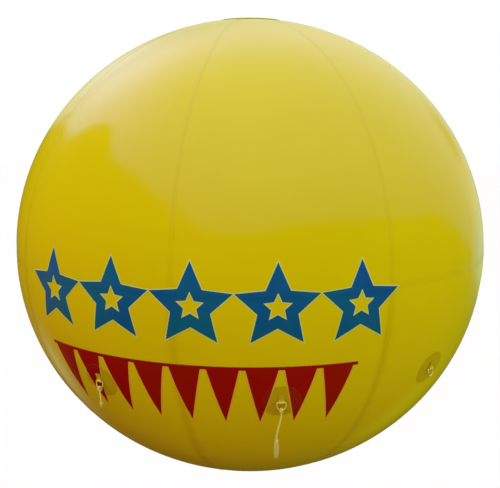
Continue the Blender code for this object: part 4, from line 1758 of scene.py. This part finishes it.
# %% Lights of the dome
# The dividing line: an azimuth and an elevation in degrees at each bend.
divide = [(-180, -5), (-178, -4), (-172, -1), (-167, 3.5), (-163, 6), (-160, 8.5), (-155, 13),
          (-150, 17), (-143, 19), (-135, 22), (-130, 25), (-127, 29), (-124, 33.5), (-118, 38),
          (-108, 40.5), (-102, 38), (-96, 36), (-85, 34.5), (-70, 34), (-58.5, 29.5), (-47, 26.5),
          (-38, 21.5), (-30, 17), (-7, 16), (22, 19.5), (41, 18), (62, 16), (70.5, 13), (89, 10.5),
          (95, 8), (102, 3.5), (108, 0.5), (114, -3.5), (122, -7), (128, -10.5), (136, -13),
          (150, -13), (158, -12), (161, -4), (166, 8), (175, 10), (178, -5), (180, -5)]
divide_blur = 1.8
upper_colour = (0.61, 0.66, 0.22)
upper_overhead = (0.45, 0.51, 0.95)
lower_colour = (0.745, 0.65, 0.025)
lower_overhead = (0.57, 0.58, 0.01)
lower_rear = (-0.34, -0.28, -0.01)
lower_right = (0.00, 0.12, 0.00)
# Each lobe or gleam: azimuth and its half width, elevation and its half height, in degrees,
# and the colour that it adds.
lobes = {"left": (-140.0, 40.0, 43.0, 17.0, (0.89, 0.76, 1.63)),
         "rear": (174.0, 35.0, 56.0, 18.0, (-0.10, -0.10, 0.36)),
         "right": (125.0, 40.0, 25.0, 45.0, (0.14, 0.04, 0.18))}
gleams = {"rear_dim": (-174.0, 17.0, 34.0, 15.5, (-0.50, -0.49, -0.57)),
          "rear_pale": (-165.0, 7.5, 20.0, 7.5, (0.45, 0.45, 0.74)),
          "left_pale": (-148.0, 12.5, 34.0, 10.0, (0.05, 0.24, 0.68)),
          "left_low": (-150.0, 9.0, -28.0, 5.0, (0.35, 0.45, 0.28)),
          "left_dim": (-120.0, 16.0, -47.0, 10.0, (-0.30, -0.22, 0.00)),
          "right_wide": (146.0, 15.5, 3.0, 8.0, (0.44, 0.39, 0.24)),
          "right_spot": (138.0, 5.7, 11.5, 4.8, (-0.34, -0.365, -0.47)),
          "right_pale": (136.7, 9.0, -8.0, 5.0, (-0.15, 0.18, 0.36)),
          "right_low": (135.6, 12.5, -40.5, 9.0, (0.30, 0.30, 0.00)),
          "right_dim": (148.0, 9.0, 4.0, 7.0, (-0.42, -0.36, -0.15))}
least_light = (0.01, 0.01, 0.002)
print("lobes:", len(lobes), "gleams:", len(gleams))

# %% [markdown]
# The dome's colour is arithmetic on a direction's azimuth and elevation. A painted sky would be
# an image, which this file doesn't use, so math nodes do it step by step. Each helper below is
# one such step. A lobe is a bump that falls off round its centre, and the dividing line is a
# curve node that turns an azimuth into an elevation.

# %% Steps on the dome
def do(tree, operation, *values):
    """One step of arithmetic on numbers."""
    return add_node(tree, "ShaderNodeMath", dict(enumerate(values)), operation=operation).outputs[0]


def add_share(tree, running, amount, colour):
    """A running colour with a colour times an amount added."""
    inputs = {0: tuple(colour), 1: amount, 2: running}
    return add_node(tree, "ShaderNodeVectorMath", inputs, operation="MULTIPLY_ADD").outputs[0]


def add_lobe(tree, azimuth, elevation, centre, half_width, height, half_height):
    """A soft bump: exp(k (cos(azimuth - centre) - 1)) times a bell curve of the elevation."""
    k = np.log(2) / (1 - np.cos(np.radians(half_width)))
    turned = do(tree, "COSINE", do(tree, "SUBTRACT", azimuth, float(np.radians(centre))))
    level = do(tree, "EXPONENT", do(tree, "MULTIPLY_ADD", turned, float(k), float(-k)))
    share = do(tree, "DIVIDE", do(tree, "SUBTRACT", elevation, float(np.radians(height))),
               float(np.radians(half_height)))
    squared = do(tree, "MULTIPLY", share, share)
    return do(tree, "MULTIPLY", level, do(tree, "POWER", 0.5, squared))


def add_divide(tree, azimuth, elevation):
    """1 above the line that divides the lights and 0 below it, with a soft edge."""
    around = spread(tree, azimuth, 0.0, 1.0, -np.pi, np.pi)
    line = add_node(tree, "ShaderNodeFloatCurve", {"Value": around})
    curve = line.mapping.curves[0]
    places = [((side + 180) / 360, (rise + 90) / 180) for side, rise in divide]
    curve.points[0].location = places[0]
    curve.points[1].location = places[-1]
    for place in places[1:-1]:
        curve.points.new(*place)
    line.mapping.update()
    height = spread(tree, line.outputs["Value"], -np.pi / 2, np.pi / 2)
    above = do(tree, "SUBTRACT", elevation, height)
    edge = float(np.radians(divide_blur))
    inputs = {"Value": above, "From Min": -edge, "From Max": edge}
    return add_node(tree, "ShaderNodeMapRange", inputs,
                    interpolation_type="SMOOTHSTEP").outputs["Result"]


print("bends of the dividing line:", len(divide))

# %% [markdown]
# The steps are put together in the world's node tree. Film and metal mirror the dome, while the
# camera looks past it at a plain backdrop, which a ray's own kind decides. A separate backdrop
# object would do as well, but it would have to stay behind the balloon from every side.

# %% Dome
def add_lobes(tree, azimuth, elevation, running, places):
    """A running colour with every lobe of a list added."""
    for centre, half_width, height, half_height, colour in places.values():
        amount = add_lobe(tree, azimuth, elevation, centre, half_width, height, half_height)
        running = add_share(tree, running, amount, colour)
    return running


def make_dome():
    """Two lights that grow or fall off with height, split by the line, with gleams on both."""
    world = bpy.data.worlds.new("dome")
    bpy.context.scene.world = world
    world.use_nodes = True
    tree = world.node_tree
    tree.nodes.clear()
    facing = add_node(tree, "ShaderNodeTexCoord").outputs["Generated"]
    x, y, z = add_node(tree, "ShaderNodeSeparateXYZ", {0: facing}).outputs
    azimuth = do(tree, "ARCTAN2", x, do(tree, "MULTIPLY", y, -1.0))
    elevation = do(tree, "ARCSINE", z)
    upper = add_share(tree, upper_colour, z, upper_overhead)
    upper = add_lobes(tree, azimuth, elevation, upper, lobes)
    lower = add_share(tree, lower_colour, z, lower_overhead)
    lower = add_share(tree, lower, do(tree, "MAXIMUM", y, 0.0), lower_rear)
    lower = add_share(tree, lower, x, lower_right)
    mask = add_divide(tree, azimuth, elevation)
    both = add_node(tree, "ShaderNodeMix", data_type="VECTOR")
    for socket, value in ((both.inputs[0], mask), (both.inputs[4], lower), (both.inputs[5], upper)):
        tree.links.new(value, socket)
    uneven = add_lobes(tree, azimuth, elevation, both.outputs[1], gleams)
    kept = add_node(tree, "ShaderNodeVectorMath", {0: uneven, 1: least_light}, operation="MAXIMUM")
    light = add_node(tree, "ShaderNodeBackground", {"Color": kept.outputs[0]})
    plain = add_node(tree, "ShaderNodeBackground", {"Color": (1.0, 1.0, 1.0, 1.0), "Strength": 1.0})
    seen = add_node(tree, "ShaderNodeLightPath").outputs["Is Camera Ray"]
    by_ray = {0: seen, 1: light.outputs[0], 2: plain.outputs[0]}
    mixed = add_node(tree, "ShaderNodeMixShader", by_ray)
    add_node(tree, "ShaderNodeOutputWorld", {"Surface": mixed.outputs[0]})
    print("dome made of", len(tree.nodes), "nodes")


make_dome()

# %% [markdown]
# The balloon floats, so it needs no floor to stand on. A pale disc far below only closes the
# backdrop under it. A floor that shades or tints the film would spoil the plain light, so
# reflections and bounced light pass it by.

# %% Floor
floor_drop = 12.0
floor_radius = 180.0
floor_light = (0.985, 0.940, 0.940)
floor_dark = (0.975, 0.930, 0.930)
floor_rows = 12
floor_sides = 64


def make_floor():
    """A flat disc far below, pale and plain, which neither shades nor tints the balloon."""
    material, tree, shader = start_finish("pale_floor", Specular_IOR_Level=0.2)
    speckle = noise(tree, object_coordinates(tree), 2.0, detail=5.0)
    tree.links.new(blend_colours(tree, speckle, floor_light, floor_dark),
                   shader.inputs["Base Color"])
    tree.links.new(spread(tree, speckle, 0.75, 0.85), shader.inputs["Roughness"])
    radius = np.linspace(0.0, floor_radius, floor_rows)[:, None]
    turn = 2 * np.pi * np.arange(floor_sides)[None, :] / floor_sides
    level = np.full((floor_rows, floor_sides), -floor_drop)
    points = np.stack([radius * np.cos(turn), radius * np.sin(turn), level], axis=-1)
    floor = add_surface("floor", points, wrap_columns=True, closed=False)
    floor.data.materials.append(material)
    floor.visible_glossy = False
    floor.visible_diffuse = False


make_floor()
bpy.context.scene.view_settings.view_transform = "Standard"
print("floor at", -floor_drop)
